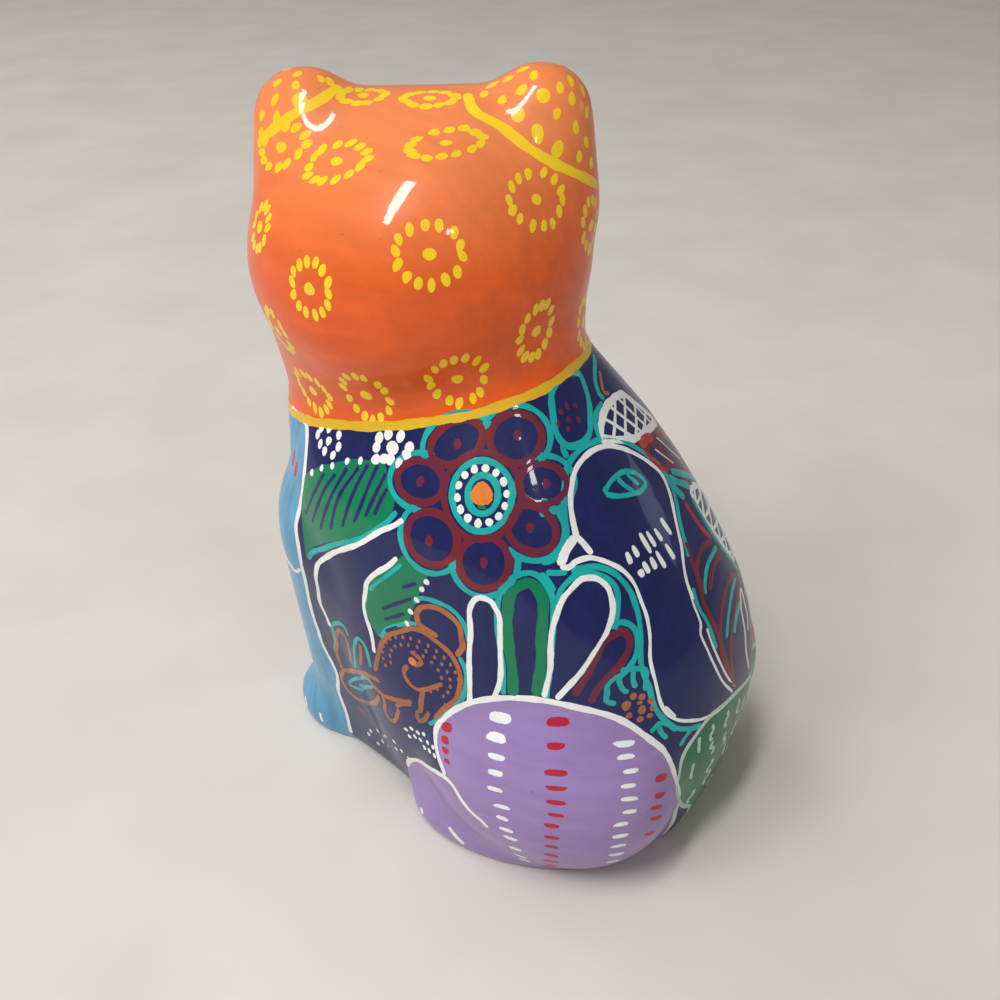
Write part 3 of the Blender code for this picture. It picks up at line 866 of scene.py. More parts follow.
class CAT_OT_bird(bpy.types.Operator):
    """Paints the large bird down the back: a white outline with a turquoise one beside it"""
    bl_idname = "cat.bird"
    bl_label = "Bird"

    def execute(self, context):
        white, turquoise = brush("white"), brush("turquoise")
        painting = Painting("bird", 13)
        back = trace([(59, 84), (60.5, 87), (62.5, 90), (65.5, 92.8), (69, 94.8), (74, 95.9), (79, 95.9),
                      (84, 94.9), (88.5, 93), (92, 90.6), (94.7, 88), (96.4, 85.5), (95.7, 83), (94, 81),
                      (91.5, 79), (89, 76.7), (87, 74.4), (84, 71.6), (82, 69), (81, 66)])
        painting.stroke("turquoise", beside(back[:-20], 1.6), turquoise, layer=1)
        painting.stroke("white", back, white, taper=0.3)
        painting.lines("white", 0.65, [(82, 69), (80.5, 65.7), (80, 61.7), (78.5, 60), (78.5, 57), (79, 53),
                                       (81, 47.7), (85, 42.5)],
                       [(81, 60), (80.7, 57), (81.5, 52.5), (83.3, 47.5), (86.5, 43)],
                       [(62, 49.5), (63, 48), (64, 46.5)])
        # the beak and the breast
        painting.line("white", [(59, 84.4), (60, 83.4), (61, 80.8)], 1.2)
        painting.line("white", [(59, 84.4), (55, 82.4), (52, 79.8)], 1.9)
        painting.line("white", [(52, 79.8), (54, 79.4), (56, 80.1), (59, 80.3), (61, 79.9), (64, 78.5),
                                (66.5, 76.6), (67.5, 74), (67, 71), (66.5, 68)], white, taper=0.45)
        painting.line("white", [(67, 71), (66.5, 68), (65, 64), (63, 60), (62, 55.5), (61.3, 51), (62, 48),
                                (64.3, 45.6), (68, 43.8), (71, 42.7), (75, 42), (80, 41.7), (84, 41.6)], 0.8)
        painting.lines("turquoise", turquoise, [(54, 78.6), (56, 78.9), (60, 78.6), (63.5, 77), (65, 75),
                                                (65.7, 72.8), (65.4, 71), (64.5, 68), (62.5, 64), (61, 61),
                                                (60.2, 58), (60, 54.5), (59.5, 50.5), (60.5, 47.5), (63, 44),
                                                (67, 42), (71, 41)], layer=1)
        # the eye
        painting.line("turquoise", [(73, 89.4), (77, 90.6), (82, 90.6), (86, 89.2), (88, 87.2), (87.5, 86.4),
                                    (84, 86.2), (79, 87.1), (75, 88.2)], 1.1, closed=True)
        painting.line("turquoise", [(79, 90.3), (80, 88.8), (82, 87)], 1.2)
        painting.line("turquoise", [(83, 90), (84, 88.6), (85, 87.2)], 0.9)
        painting.dabs("white", 2.6, 1.35, [(69.5, 78.1), (72.2, 78.6), (76.2, 78.9, 5, 1.4),
                                           (78.6, 78.9, 4, 1.35), (81.6, 78.7, 3.4, 1.3),
                                           (85.8, 78.8, 4.3, 1.3), (70.6, 74.9, 1.6, 1.8), (72.7, 75.4),
                                           (75.3, 75.4), (78, 75.2, 4, 1.3), (82.2, 75.2, 3.6, 1.3)],
                      lean=0.12, square=DASH_SQUARE)
        painting.finish()
        return {"FINISHED"}


class CAT_OT_wing(bpy.types.Operator):
    """Paints the nets, stripes and feathers of the wing down the middle of the back"""
    bl_idname = "cat.wing"
    bl_label = "Wing"

    def execute(self, context):
        turquoise = brush("turquoise")
        painting = Painting("wing", 17)
        painting.line("turquoise", [(89, 107.5), (82, 108.5), (75, 107), (71, 103.5), (69, 100), (71, 98),
                                    (78, 98.3), (83, 101), (87, 104)], 1.45, closed=True)
        painting.lines("turquoise", turquoise, [(69, 99), (68, 98), (68, 96.5)],
                       [(104, 107), (102, 106.7), (95, 105), (92, 102.7), (93, 101.5)],
                       [(91, 101.4), (85, 100.4), (82, 98.3), (81, 96.7)])
        painting.line("rust", [(100, 105), (95, 102.5), (97, 101.5)], 1.0)
        painting.dabs("dark_red", 1.3, 1.1,
                      [(77, 104), (80, 103.5), (74, 103.5), (75, 102), (78, 101.3), (71, 102), (73, 100.7)])
        # the upper net
        painting.net("white", [(82, 97.4), (87, 99.6), (92, 100.4), (98, 100.4), (103, 99.7), (107, 98),
                               (109, 95.7), (113, 92.6), (116, 90)],
                     [(81, 97), (83, 96.3), (87, 95.2), (91, 94), (96, 93), (103, 92), (108, 91), (113, 90),
                      (115.5, 89.6)], 7, 2)
        # the striped band under it, and the turquoise fan
        painting.fill("dark_red",
                      [(95, 92.6), (101, 91.5), (107, 90.5), (113, 88.7), (118, 86), (121, 82), (121, 78)],
                      [(94, 91), (96, 88), (98, 86), (101, 84.5), (105, 82.5), (111, 79.5), (117, 77)])
        painting.lines("ink", 2.2, [(105, 89.5), (107, 87), (109, 84), (110, 81)],
                       [(99, 90), (100, 88), (102, 85.5)], [(111, 88), (114, 85.5), (117, 81), (118, 79)],
                       layer=1)
        painting.lines("vermilion", 2.4, [(95, 91.8), (99, 91.2)], [(97, 92), (104, 90.6)], layer=3)
        painting.line("red", [(113, 88.5), (119, 85), (121, 82), (121, 78)], 1.3)
        painting.line("red", [(95.5, 90.5), (96.5, 88.5), (98, 86.5), (100, 84.6)], 1.3)
        painting.lines("white", 0.45, [(101, 89), (104, 86), (106, 84)],
                       [(106, 89.5), (110, 85.5), (114, 82)], layer=3)
        painting.lines("turquoise", 1.9, [(98, 85.3), (98, 83.6), (99, 81), (100, 79)],
                       [(99, 84), (102, 81.6), (107, 78.8)], [(102, 84), (107, 81.5), (112, 79), (119, 75.5)])
        # the lower net
        painting.net("white",
                     [(106, 78.4), (104.5, 77), (104, 74.2), (104, 70.9), (105.5, 66.7), (107.5, 61.5)],
                     [(110, 77.6), (119, 73.6), (118, 70.6), (117, 67.4), (115.5, 64.6), (113, 60.8)], 6, 1)
        painting.line("white", [(105.5, 78), (108, 78), (111, 77)], 1.5)
        painting.line("turquoise",
                      [(104, 77.5), (103, 74.5), (103, 70.5), (104, 66.5), (105.5, 63.5), (108, 59.5)], 1.3)
        # the feathers
        painting.lines("dark_red", 1.35, [(89, 74.5), (89, 73), (87, 70), (86, 67), (84, 64.3), (84, 61),
                                          (84, 58), (84, 55), (84, 51.5), (85, 47), (87, 42.3)],
                       [(100, 69.9), (95, 71), (90, 70.4), (87, 68.9), (85, 66.2)],
                       [(102, 62), (95, 62), (89, 60), (85, 57.1), (83, 52.9), (84, 48), (86, 42.8)],
                       [(102, 62), (105, 58.5), (100, 58.4), (95, 57.2), (91, 55.3), (88, 53), (86, 49.4),
                        (86, 44)], [(103, 66.5), (97, 67), (92, 66.3), (88, 64.8)])
        painting.line("red", [(99, 78.7), (99, 76.1), (99, 73.1), (101, 70.2)], 1.3)
        painting.lines("turquoise", 1.1, [(101, 68.4), (93, 68.2), (88, 66.6), (86, 65)],
                       [(83, 67.7), (81.5, 64.2), (82, 61.2), (82, 57.4), (82, 55.2)],
                       [(104, 60.5), (97, 60), (91, 58), (87, 55)], layer=1)
        painting.line("turquoise", [(99, 56.7), (94, 55.7), (91, 53.9)], 1.5)
        painting.lines("white", 0.9,
                       [(102, 57.4), (99, 55.5), (98, 53.2), (97, 49.5), (96, 46.4), (98, 41.2)],
                       [(102, 57.4), (104, 57.2), (103, 55.2), (102.5, 51.9), (100, 49.6)])
        painting.line("white", [(114, 62), (113, 57.4), (110, 55.6), (106, 54.5)], 0.5)
        painting.finish()
        return {"FINISHED"}


LEAF_TOP = [(-42, 77), (-41, 82), (-36, 85.3), (-32, 86.8), (-26, 89), (-20, 90.4), (-12, 92.2), (-5, 93.2),
            (7, 94)]
LEAF_FOOT = [(-45, 64), (-44, 66), (-40, 69), (-30, 73), (-20, 76), (-9, 79.5), (3, 84), (8, 87), (9, 89)]
HATCHES = [[(-24, 88), (-30, 83.5), (-40, 76)], [(-18, 89), (-24, 85), (-36, 75.5)],
           [(-12, 91), (-18, 86.5), (-24, 81.5), (-31, 75.5)], [(-6, 92), (-16, 85.5), (-24, 77.5)],
           [(-1, 93), (-7, 89), (-17, 79.5)], [(4, 93.5), (-2, 89), (-11, 81.5)],
           [(7, 92.5), (2, 89), (-5, 83.5)], [(7, 90), (3, 87.5), (-1, 84.5)],
           [(-13, 63), (-4, 66.4), (3, 69)], [(-14, 60.5), (-3, 64.5)], [(1, 70.8), (8, 73)],
           [(-16, 57.5), (-9, 60)]]


class CAT_OT_leaves(bpy.types.Operator):
    """Paints the two green leaves in front of each flower, hatched in navy and edged with white"""
    bl_idname = "cat.leaves"
    bl_label = "Leaves"

    def execute(self, context):
        white, turquoise = brush("white"), brush("turquoise")
        painting = Painting("leaves", 19)
        for side in SIDES.values():
            painting.fill("leaf", side(LEAF_TOP), side(LEAF_FOOT))
            painting.fill("leaf", side([(7, 78.4), (1, 75.6), (-7, 72), (-14, 68.3), (-18, 65), (-22, 61),
                                        (-23, 58)]),
                          side([(14, 76), (10, 73), (5, 69), (0, 65), (-4, 62), (-12, 59), (-21, 55)]))
            painting.lines("ink", 1.0, *[side(hatch) for hatch in HATCHES])
            painting.dabs("white", 1.7, 1.4, side([(-32, 86.5), (-26, 88.6), (-20, 90), (-12, 92), (-5, 93)]))
            painting.dabs("white", 1.6, 1.4, side([(12, 74), (9, 72), (5, 69), (0, 65.5), (-4, 62)]))
            painting.line("turquoise", side([(-44, 65), (-40, 68), (-30, 72), (-20, 75.5), (-9, 79),
                                             (3, 83.5), (9, 86.5)]), turquoise, layer=1)
            painting.line("white", side([(11, 85.5), (6, 83.6), (0, 81.7), (-9, 78.2), (-20, 74.3),
                                         (-30, 70.3), (-39, 66), (-43, 62), (-46, 57.5), (-50, 52.5),
                                         (-51, 48.5), (-52, 45.5)]), white)
            painting.line("turquoise", side([(5, 76.3), (-2, 73), (-10, 69.5), (-15, 66.8)]), 1.0, layer=1)
            painting.line("white", side([(4, 77.5), (-1, 75), (-7, 72.4), (-14, 68.8), (-18, 65.4),
                                         (-22, 61.7), (-23.5, 58.6), (-24, 55.3), (-25, 52.8), (-27, 49.5)]),
                          white)
            painting.dabs("white", 2.2, 1.6, side([(-28, 95.4), (-23, 96.2), (-17, 95.8), (-30, 94),
                                                   (-28, 92.6), (-23, 93.9), (-17, 93.8), (-25, 91.8),
                                                   (-20, 91.9)]))
            painting.dabs("white", 2.5, 2.2, side([(6, 98), (11, 99), (17, 99.3), (4, 96.3), (20, 97.9),
                                                   (18, 96.5), (7, 94.7), (3, 94.2), (10, 95), (14, 94.8)]))
            painting.dabs("white", 2.9, 3.1, side([(12, 97)]))
        painting.finish()
        return {"FINISHED"}


class CAT_OT_animal(bpy.types.Operator):
    """Paints the small long-eared animal on the cat's left side"""
    bl_idname = "cat.animal"
    bl_label = "Small animal"

    def execute(self, context):
        painting = Painting("small_animal", 23)
        painting.lines("rust", 1.2, [(-31, 44), (-25, 49.5), (-21, 53.3), (-15, 57), (-9, 59), (-3, 61),
                                     (1, 61.3), (4, 60.6), (7, 59.5), (9, 58), (9.5, 56), (9, 53.3),
                                     (7, 50.5), (3, 46.7), (-4, 43), (-10, 39.5)],
                       [(-57, 31), (-56, 37), (-52, 43), (-48, 46.3), (-46, 47), (-44, 46.5), (-46, 42.4),
                        (-50, 37)])
        painting.line("rust", [(1, 63), (2, 65.3), (5, 67.3), (9, 68.3), (12, 68.4), (15, 67.5), (17, 65.6),
                               (16, 63), (15, 60.7), (11, 58)], 1.3)
        painting.lines("turquoise", 1.1, [(-20, 55), (-15, 58.3), (-9, 60.5), (-2, 62.4), (0, 62.4)],
                       [(12, 58), (12, 55.3), (10, 51.8), (6, 47.6), (1, 44.5), (-7, 40.5), (-12, 36.8)],
                       [(-57, 36.5), (-53, 43), (-50, 46.8), (-44, 49.8), (-41, 50), (-41, 48)],
                       [(-48, 36.6), (-42, 43.7), (-36, 49), (-33, 50.4), (-31, 49.3), (-32, 46), (-33, 44)],
                       [(3, 68), (7, 69.8), (12, 70), (17, 69), (19, 66), (18, 62)], layer=1)
        painting.line("turquoise", [(-57, 26), (-53, 30), (-43, 36.6), (-38, 38.7), (-36.5, 37.6),
                                    (-41, 34.8), (-51, 28.2)], 0.9, closed=True)
        painting.line("turquoise", [(-50, 30), (-44, 33.6)], 1.0)
        painting.lines("rust", 1.3, [(-57, 30.4), (-59.5, 26.7), (-59.5, 23.8), (-58.5, 22.3), (-56, 22),
                                     (-52, 23.5), (-44, 28), (-37, 32.5), (-34, 36)],
                       [(-57, 30.5), (-50, 34.3), (-44, 37.6), (-39, 40), (-34, 41), (-31, 41.3)],
                       [(-38, 38.8), (-35, 38), (-31, 37.5), (-25, 38.7), (-18, 41)],
                       [(-10, 45.8), (-13, 42.6), (-16, 38.6)], [(0, 63), (4, 62), (7, 61.4)])
        painting.lines("rust", 1.1,
                       [(-32, 37), (-32, 34.5), (-33, 31.8), (-31, 29.7), (-28, 31.7), (-25, 36)],
                       [(-26, 36.5), (-23, 38.5), (-19, 40)],
                       [(-17, 39), (-17, 36), (-14, 37.6), (-12, 40.4)],
                       [(-12, 51), (-15, 49), (-15.5, 47), (-14, 45.7), (-11, 45.7), (-4, 48), (0, 49.6)],
                       [(-34, 49), (-36, 46), (-40, 42)], [(-9, 51.5), (-5, 53.5), (-8, 55)])
        place = chart(on_body(-8, 50.5))
        for far, first, last in ((4.6, -60, 100), (6.3, -40, 190), (8.0, -50, 200)):
            for dot in oval(far * 1.25, far, first=first, last=last,
                            number=round(far * (last - first) / 100)):
                painting.dab("rust", place(*dot), 1.1, 0.8)
        painting.dab("orange", on_body(-9, 52.5), 2.3, 2.3, layer=3)
        painting.dab("dark_red", on_body(-57, 17.5), 3.4, 3.0, -0.6, layer=1)
        painting.finish()
        return {"FINISHED"}


LOOPS = [("white", [(8, 47), (12, 53), (16, 59), (20, 65), (23, 70), (27, 73), (30, 73), (31, 72), (31, 69),
                    (27, 62), (23, 55), (18, 50)]),
         ("leaf", [(25, 52), (28, 58), (31, 65), (34, 71), (37, 75), (42, 77), (44, 76), (44, 73), (40, 66),
                   (36, 59), (32, 53)]),
         ("white", [(34, 53), (39, 60), (43, 67), (46, 71), (49, 73.9), (52, 75.5), (55, 76.8), (57, 77),
                    (59, 76.6), (60.3, 75.4), (60.8, 74), (59.5, 70.5), (55, 66.2), (51, 63), (46, 59),
                    (40, 55), (37, 53)])]
LOOP_GAP = 2.0                # mm from a green loop to the turquoise line beside it


class CAT_OT_loops(bpy.types.Operator):
    """Paints the fan of long loops that stands on each haunch"""
    bl_idname = "cat.loops"
    bl_label = "Loops"

    def execute(self, context):
        turquoise, red = brush("turquoise"), brush("red")
        widths = {"white": brush("white"), "leaf": brush("green")}
        painting = Painting("haunch_loops", 29)
        for turn, side in SIDES.items():
            for paint, places in LOOPS:
                line = trace(side(places))
                if paint == "leaf":
                    painting.stroke("turquoise", beside(line, LOOP_GAP * turn), turquoise, layer=1)
                painting.stroke(paint, line, widths[paint])
            painting.line("dark_red", side([(42, 54), (47, 58.3), (51, 62.3), (54, 65), (57, 66), (59, 66.5),
                                            (60, 65.7), (60, 64), (58, 62), (55, 59.7), (51, 57.3),
                                            (48, 55.3), (45, 52.5)]), red)
            painting.lines("turquoise", 1.2, side([(57, 67.4), (60, 68.2), (62, 67.2), (62.5, 65.7),
                                                   (61.5, 63.5), (60, 61.5), (57, 59.2), (54, 57.5)]),
                           side([(47, 72.8), (49.5, 75.4), (53, 77.3), (56, 78.2), (59, 77.7), (61, 76.6),
                                 (62.3, 75), (62.3, 73.4), (61, 71), (58, 67)]),
                           side([(48, 80.9), (50, 80.8), (53, 81.6)]),
                           side([(48, 79), (50, 78.8), (53, 78.6)]),
                           side([(46.5, 78.8), (47.5, 77.3), (48, 75.4)]), layer=1)
        painting.finish()
        return {"FINISHED"}


class CAT_OT_sprig(bpy.types.Operator):
    """Paints the turquoise sprig and the orange beads between the haunch and the bird"""
    bl_idname = "cat.sprig"
    bl_label = "Sprig and beads"

    def execute(self, context):
        painting = Painting("sprig", 31)
        painting.lines("turquoise", 1.15, [(55, 58.8), (57, 59), (60, 58.5), (61, 58), (60, 56.3), (59, 54)],
                       [(55, 58.4), (54, 57), (54, 55), (55, 54.3)], [(58, 58.7), (57, 56.7), (57, 55)],
                       [(54, 58), (51, 56.3), (50, 54.5), (49, 52.8), (51, 52)],
                       [(60, 46.4), (58, 45.4), (56.5, 44.5)], [(59, 46), (59, 43.8), (60, 42)],
                       [(60, 46.4), (62, 44.5), (63, 43)], [(69, 42), (67, 41.5), (64.5, 39.7), (63.8, 38.6)])
        painting.dabs("rust", 1.4, 1.5, [(55.7, 53.3, 1.8, 1.6), (57.6, 52.9), (59.3, 51.6),
                                         (59, 49.9, 1.3, 1.2), (56.5, 50.1, 2.1, 1.9), (57.8, 48.4),
                                         (53.2, 51.4, 2.3, 1.9), (55.2, 48.1), (53, 49.3),
                                         (56.6, 51.7, 1.0, 1.2)])
        painting.finish()
        return {"FINISHED"}


# the columns of dashes down the haunch: angle, height, width, height of the dash, and lean in degrees
DASHES = {"white": [(18, 46.5, 4.8, 2.7, 5), (15, 42.6, 3.8, 2.1, 5), (14, 38.8, 3.9, 1.6, 8),
                    (14, 35.3, 3.3, 1.4, 8), (14, 31.4, 3.5, 1.3, 8), (16, 27.4, 3.5, 1.3, 8),
                    (16, 24, 3, 1.3, 3), (17, 20.5, 3, 1.3, 3), (18, 17.7, 3, 1.3, 3), (19, 13.5, 3, 1.3, 3),
                    (20, 9.5, 3, 1.3, 3), (21, 6.5, 3, 1.3, 3), (49, 44, 4.3, 1.4, -8),
                    (48, 41.8, 3.8, 1.3, -8), (48, 39, 3.2, 1.1, -8), (47, 36.2, 3.2, 1.1, -8),
                    (47, 33.3, 3.2, 1.1, -8), (47, 30.2, 3.1, 1.1, -8), (45, 27.2, 3, 1.3, 0),
                    (45, 23.6, 3, 1.3, 0), (45, 20.2, 3, 1.3, 0), (45, 16.5, 3, 1.3, 0),
                    (45, 12.5, 3, 1.3, 0)],
          "red": [(35, 48.3, 4.3, 2.4, 8), (32, 44, 3.3, 1.6, 4), (30, 39, 4.1, 1.5, 4),
                  (30, 35.7, 4.1, 1.3, 4), (30, 32.4, 3.8, 1.2, 4), (30, 29.2, 3.5, 1.1, 4),
                  (29, 26, 3, 1.3, 4), (29, 22.3, 3, 1.3, 4), (29, 19, 3, 1.3, 4), (29, 15.2, 3, 1.3, 4),
                  (29, 12, 3, 1.3, 4), (29, 9, 3, 1.3, 4), (29, 6.5, 3, 1.3, 4), (29, 4.5, 3, 1.3, 4),
                  (56, 35, 3, 1.7, -20), (55, 31.4, 2.8, 1.5, -20), (54, 28.9, 3, 1.3, -20),
                  (54, 25.8, 3, 1.3, -20), (53, 21.3, 3, 1.3, -20), (-4.5, 39, 3, 2.6, 15),
                  (-4.5, 36, 2.6, 1.9, 10), (-4, 33.6, 2.2, 1.6, 10), (-3, 31.4, 2, 1.2, 10)]}
HAUNCH_LINE = 1.1             # its outline is this many times as wide as the other white ones


class CAT_OT_haunches(bpy.types.Operator):
    """Paints the outline, the columns of dashes and the toes of each hind leg"""
    bl_idname = "cat.haunches"
    bl_label = "Haunches"

    def execute(self, context):
        white = brush("white")
        painting = Painting("haunch_paint", 37)
        for turn, side in SIDES.items():
            painting.line("white", clear_of_tail(side(HAUNCH)), white * HAUNCH_LINE)
            painting.line("white", side(FOOT), white)
            for toe in ([(-22, 6), (-22, 4)], [(-8, 6.5), (-5, 4.5), (-2, 3)]):
                if clear_of_tail(side(toe)):
                    painting.line("white", side(toe), 1.3)
            for paint, column in DASHES.items():
                for angle, height, wide, tall, lean in column:
                    for place in clear_of_tail(side([(angle, height)])):
                        painting.dab(paint, on_body(*place), tall, wide * DASH_WIDEN, radians(lean) * turn,
                                     square=DASH_SQUARE)
        painting.finish()
        return {"FINISHED"}


class CAT_OT_chest(bpy.types.Operator):
    """Paints the white edge of the blue chest, the toes of the forefeet and the dots beside them"""
    bl_idname = "cat.chest"
    bl_label = "Chest and forefeet"

    def execute(self, context):
        white = brush("white")
        painting = Painting("chest_paint", 41)
        for side in SIDES.values():
            painting.line("white", side(CHEST), white)
            painting.line("white", side([(-59, 63), (-60, 60), (-56, 58), (-54, 58), (-51, 60)]), 0.9)
            painting.dabs("red", 4.6, 1.6, side([(-46, 83.5), (-49, 85)]), lean=-0.2)
            for toe in ([(-74.5, 7), (-74, 4)], [(-70.5, 6), (-70.5, 3)], [(-79, 8), (-79, 4)]):
                painting.line("white", side(toe), 0.9)
            painting.dabs("white", 1.3, 1.2, clear_of_tail(side([(-59, 8.6), (-57, 11), (-52, 14.2),
                                                                 (-42, 18.5), (-35, 20.6), (-32, 19),
                                                                 (-29, 18), (-56, 7.4), (-52, 10.6),
                                                                 (-47, 12), (-36, 17.6), (-46, 16)])),
                          layer=1)
            painting.dabs("white", 1.2, 1.4, side([(-24, 30.2), (-21, 31.8), (-18, 31.9), (-15, 32.8),
                                                   (-23, 28.4), (-20, 29.8), (-17, 30.2), (-13, 31.4),
                                                   (-10, 31.6), (-15, 28.9), (-12, 29.6), (-9, 29.8)]),
                          layer=1)
        painting.finish()
        return {"FINISHED"}


TAIL_DASHES = [(70, 36), (69, 28.7), (73.5, 17), (75, 37), (76, 32), (82, 36.8), (78, 25), (79, 20.5),
               (89.5, 35.8), (83, 30.5), (86, 25), (90, 29), (85, 15), (95, 33), (98, 25), (92, 20), (97, 14),
               (106, 29), (108, 20), (118, 25), (120, 15), (132, 22), (134, 12), (146, 18), (150, 10),
               (162, 14), (169, 9), (181, 12), (191, 9), (202, 9), (214, 8), (226, 7)]


class CAT_OT_tail(bpy.types.Operator):
    """Paints the pale outline and dashes of the tail"""
    bl_idname = "cat.tail"
    bl_label = "Tail"

    def execute(self, context):
        painting = Painting("tail_paint", 43)
        painting.line("mint", TAIL, 1.2)
        painting.line("mint", [(230, 11), (235, 9), (236, 5), (233, 1)], 1.2)
        for angle, height in TAIL_DASHES:
            tall, bend = painting.hand.uniform(1.9, 2.7), painting.hand.uniform(-0.9, 0.9)
            wave = [(0.0, tall), (bend, tall / 3), (-bend, -tall / 3), (0.3, -tall)]
            painting.line("mint", wave, 1.0, chart(on_body(angle, height)))
        painting.finish()
        return {"FINISHED"}


class CAT_OT_face(bpy.types.Operator):
    """Paints a plain cat's face: eyes, nose, mouth and whiskers"""
    bl_idname = "cat.face"
    bl_label = "Face"

    def execute(self, context):
        painting = Painting("face_paint", 47)
        for side in (-1, 1):
            middle = 180 + 24 * side
            turns = [middle + far * side for far in (13, 6, -3, -11)]
            lower, upper = list(zip(turns, (9, 2, 1, 4))), list(zip(turns, (9, 15, 14, 4)))
            painting.fill("white", upper, lower, on_head)
            painting.line("ink", upper, 1.4, on_head)
            painting.line("ink", lower, 1.2, on_head)
            pupil = on_head(middle + side, 8.0)
            painting.dab("leaf", pupil, 6.6, 5.6, layer=3)
            painting.dab("ink", pupil, 5.2, 2.2, layer=6)
            brow = [(middle + 16 * side, 16), (middle + 6 * side, 22), (middle - 6 * side, 20)]
            painting.line("ink", brow, 1.3, on_head)
            for rise in (-14, -20, -26):
                painting.line("yellow", [(180 + 24 * side, rise), (180 + 36 * side, rise + 1),
                                         (180 + 48 * side, rise + 4)], 1.0, on_head, taper=0.5)
            painting.line("ink",
                          [(180, -20), (180 + 4 * side, -25), (180 + 12 * side, -25), (180 + 16 * side, -21)],
                          1.3, on_head)
        painting.dab("dark_red", on_head(180, -10), 5.0, 8.0, layer=3)
        painting.line("ink", [(180, -12), (180, -16), (180, -20)], 1.2, on_head)
        painting.finish()
        return {"FINISHED"}


# the camera: its lens and sensor, the point it looks at and its distance from it in mm, and its angles
LENS, SENSOR = 44.12, 36.0
VIEW_TARGET = (10.50, 3.37, 78.93)
VIEW_FROM = 260.5
VIEW_TURN, VIEW_PITCH, VIEW_ROLL = 120.0, 31.556, -1.15
FLOOR_HALF = 1.5              # half the side of the floor, in metres
LIT_POINT = (0.0, 0.0, 0.09)  # where the lights aim, in metres
AIR_LIGHT = ("F4F1EE", 0.27)  # colour and strength of the light from all round


def area_light(name, place, size, power, aim=None, tint="FFFFFF", in_gloss=True, in_matt=True):
    """A soft rectangle of light. With nothing to aim at it faces straight down."""
    lamp = bpy.data.lights.new(name, "AREA")
    lamp.shape, lamp.size, lamp.size_y = "RECTANGLE", size[0], size[1]
    lamp.energy, lamp.color = power, srgb(tint)
    stand = bpy.data.objects.new(name, lamp)
    stand.location = place
    if aim:
        stand.rotation_euler = (Vector(aim) - Vector(place)).to_track_quat("-Z", "Y").to_euler()
    stand.visible_glossy, stand.visible_diffuse = in_gloss, in_matt
    bpy.context.scene.collection.objects.link(stand)


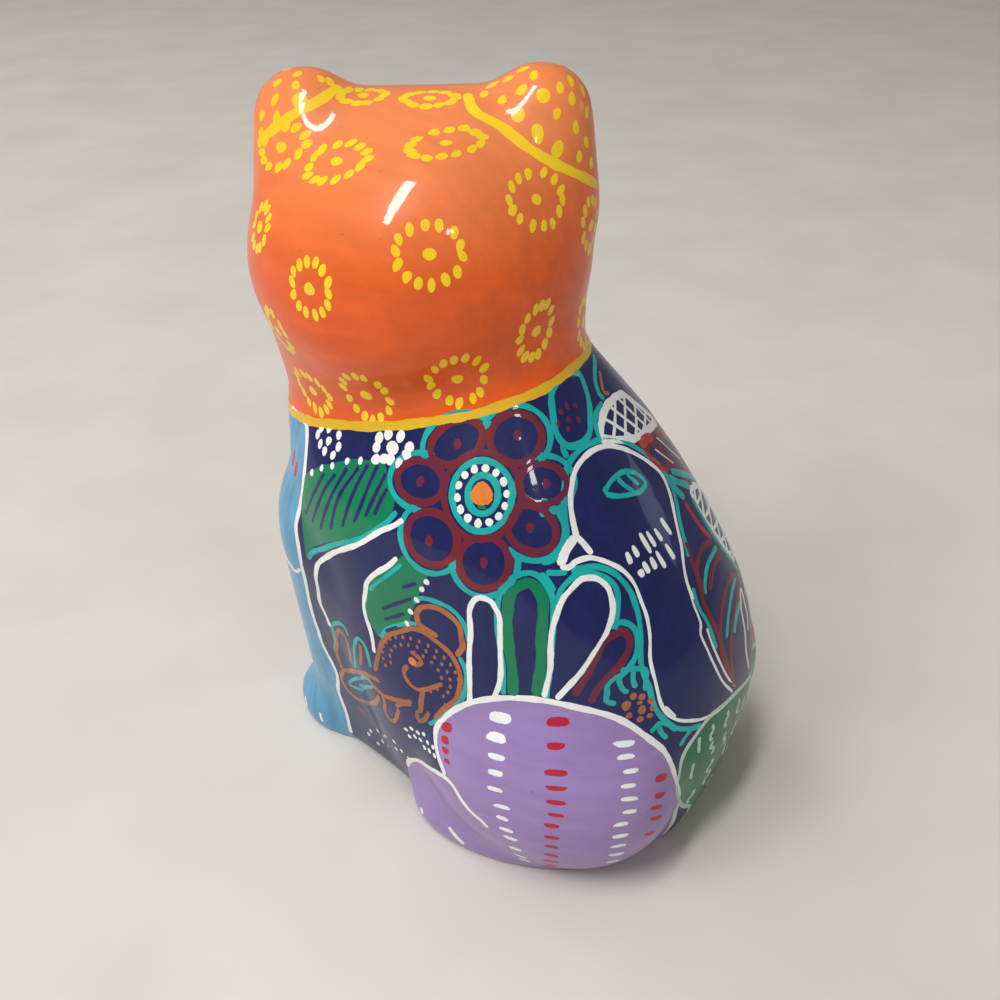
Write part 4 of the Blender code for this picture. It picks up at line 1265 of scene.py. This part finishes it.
class CAT_OT_studio(bpy.types.Operator):
    """Sets up the floor, the lights and the camera"""
    bl_idname = "cat.studio"
    bl_label = "Studio"

    def execute(self, context):
        scene = context.scene
        sheet = bmesh.new()
        bmesh.ops.create_grid(sheet, x_segments=8, y_segments=8, size=FLOOR_HALF)
        mesh = bpy.data.meshes.new("floor")
        sheet.to_mesh(mesh)
        sheet.free()
        floor = bpy.data.objects.new("floor", mesh)
        scene.collection.objects.link(floor)
        mesh.materials.append(matt_paper())

        area_light("overhead_strip", (0.66, 0.06, 1.2), (0.84, 0.12), 7.4)
        area_light("strip_glare", (0.66, 0.06, 1.19), (0.84, 0.12), 4.5, in_matt=False)
        area_light("small_lamp", (0.43, 0.62, 0.75), (0.07, 0.07), 0.5, LIT_POINT)
        area_light("window", (-1.3, 1.26, 0.45), (0.42, 0.14), 0.34, LIT_POINT, "E3ECFF")
        area_light("key", (1.04, -0.44, 1.18), (0.7, 0.7), 8.8, LIT_POINT, in_gloss=False)
        area_light("side_fill", (0.85, -1.19, 0.70), (0.9, 0.9), 3.6, LIT_POINT, in_gloss=False)
        area_light("back_fill", (-0.29, -1.09, 1.19), (0.8, 0.8), 4.8, LIT_POINT, in_gloss=False)

        world = bpy.data.worlds.new("studio_air")
        world.use_nodes = True
        scene.world = world
        air = world.node_tree.nodes["Background"]
        air.inputs["Color"].default_value = (*srgb(AIR_LIGHT[0]), 1.0)
        air.inputs["Strength"].default_value = AIR_LIGHT[1]

        lens = bpy.data.cameras.new("camera")
        lens.lens, lens.sensor_width = LENS, SENSOR
        lens.clip_start, lens.clip_end = 0.01, 20.0
        camera = bpy.data.objects.new("camera", lens)
        scene.collection.objects.link(camera)
        a, e, r = radians(VIEW_TURN), radians(VIEW_PITCH), radians(VIEW_ROLL)
        back = Vector((sin(a) * cos(e), -cos(a) * cos(e), sin(e)))
        right = Vector((cos(a), sin(a), 0.0))
        up = back.cross(right)
        right, up = right * cos(r) + up * sin(r), up * cos(r) - right * sin(r)
        turn = Matrix((right, up, back)).transposed().to_4x4()
        camera.matrix_world = Matrix.Translation((Vector(VIEW_TARGET) + back * VIEW_FROM) * MM) @ turn
        scene.camera = camera
        scene.view_settings.view_transform = "Standard"
        return {"FINISHED"}


STEPS = (CAT_OT_clay, CAT_OT_rosettes, CAT_OT_ears, CAT_OT_collar, CAT_OT_flowers, CAT_OT_bird, CAT_OT_wing,
         CAT_OT_leaves, CAT_OT_animal, CAT_OT_loops, CAT_OT_sprig, CAT_OT_haunches, CAT_OT_chest, CAT_OT_tail,
         CAT_OT_face, CAT_OT_studio)


class CAT_PT_panel(bpy.types.Panel):
    """Lists the steps of the cat and the sizes and colours that they use"""
    bl_idname = "CAT_PT_panel"
    bl_label = "Talavera cat figurine"
    bl_space_type = "VIEW_3D"
    bl_region_type = "UI"
    bl_category = "Cat"

    def draw(self, context):
        for group in settings():
            box = self.layout.box()
            for name in group.bl_rna.properties.keys():
                if name not in ("rna_type", "name"):
                    box.prop(group, name)
        for step in STEPS:
            self.layout.operator(step.bl_idname)


GROUPS = {"cat_glazes": CatGlazes, "cat_enamels": CatEnamels, "cat_sizes": CatSizes}


def register():
    for item in (*GROUPS.values(), *STEPS, CAT_PT_panel):
        bpy.utils.register_class(item)
    for name, group in GROUPS.items():
        setattr(bpy.types.Scene, name, bpy.props.PointerProperty(type=group))


def unregister():
    for name in GROUPS:
        delattr(bpy.types.Scene, name)
    for item in reversed((*GROUPS.values(), *STEPS, CAT_PT_panel)):
        bpy.utils.unregister_class(item)


def main():
    register()
    for step in STEPS:
        getattr(bpy.ops.cat, step.bl_idname.split(".")[1])()


if __name__ == "__main__":
    main()
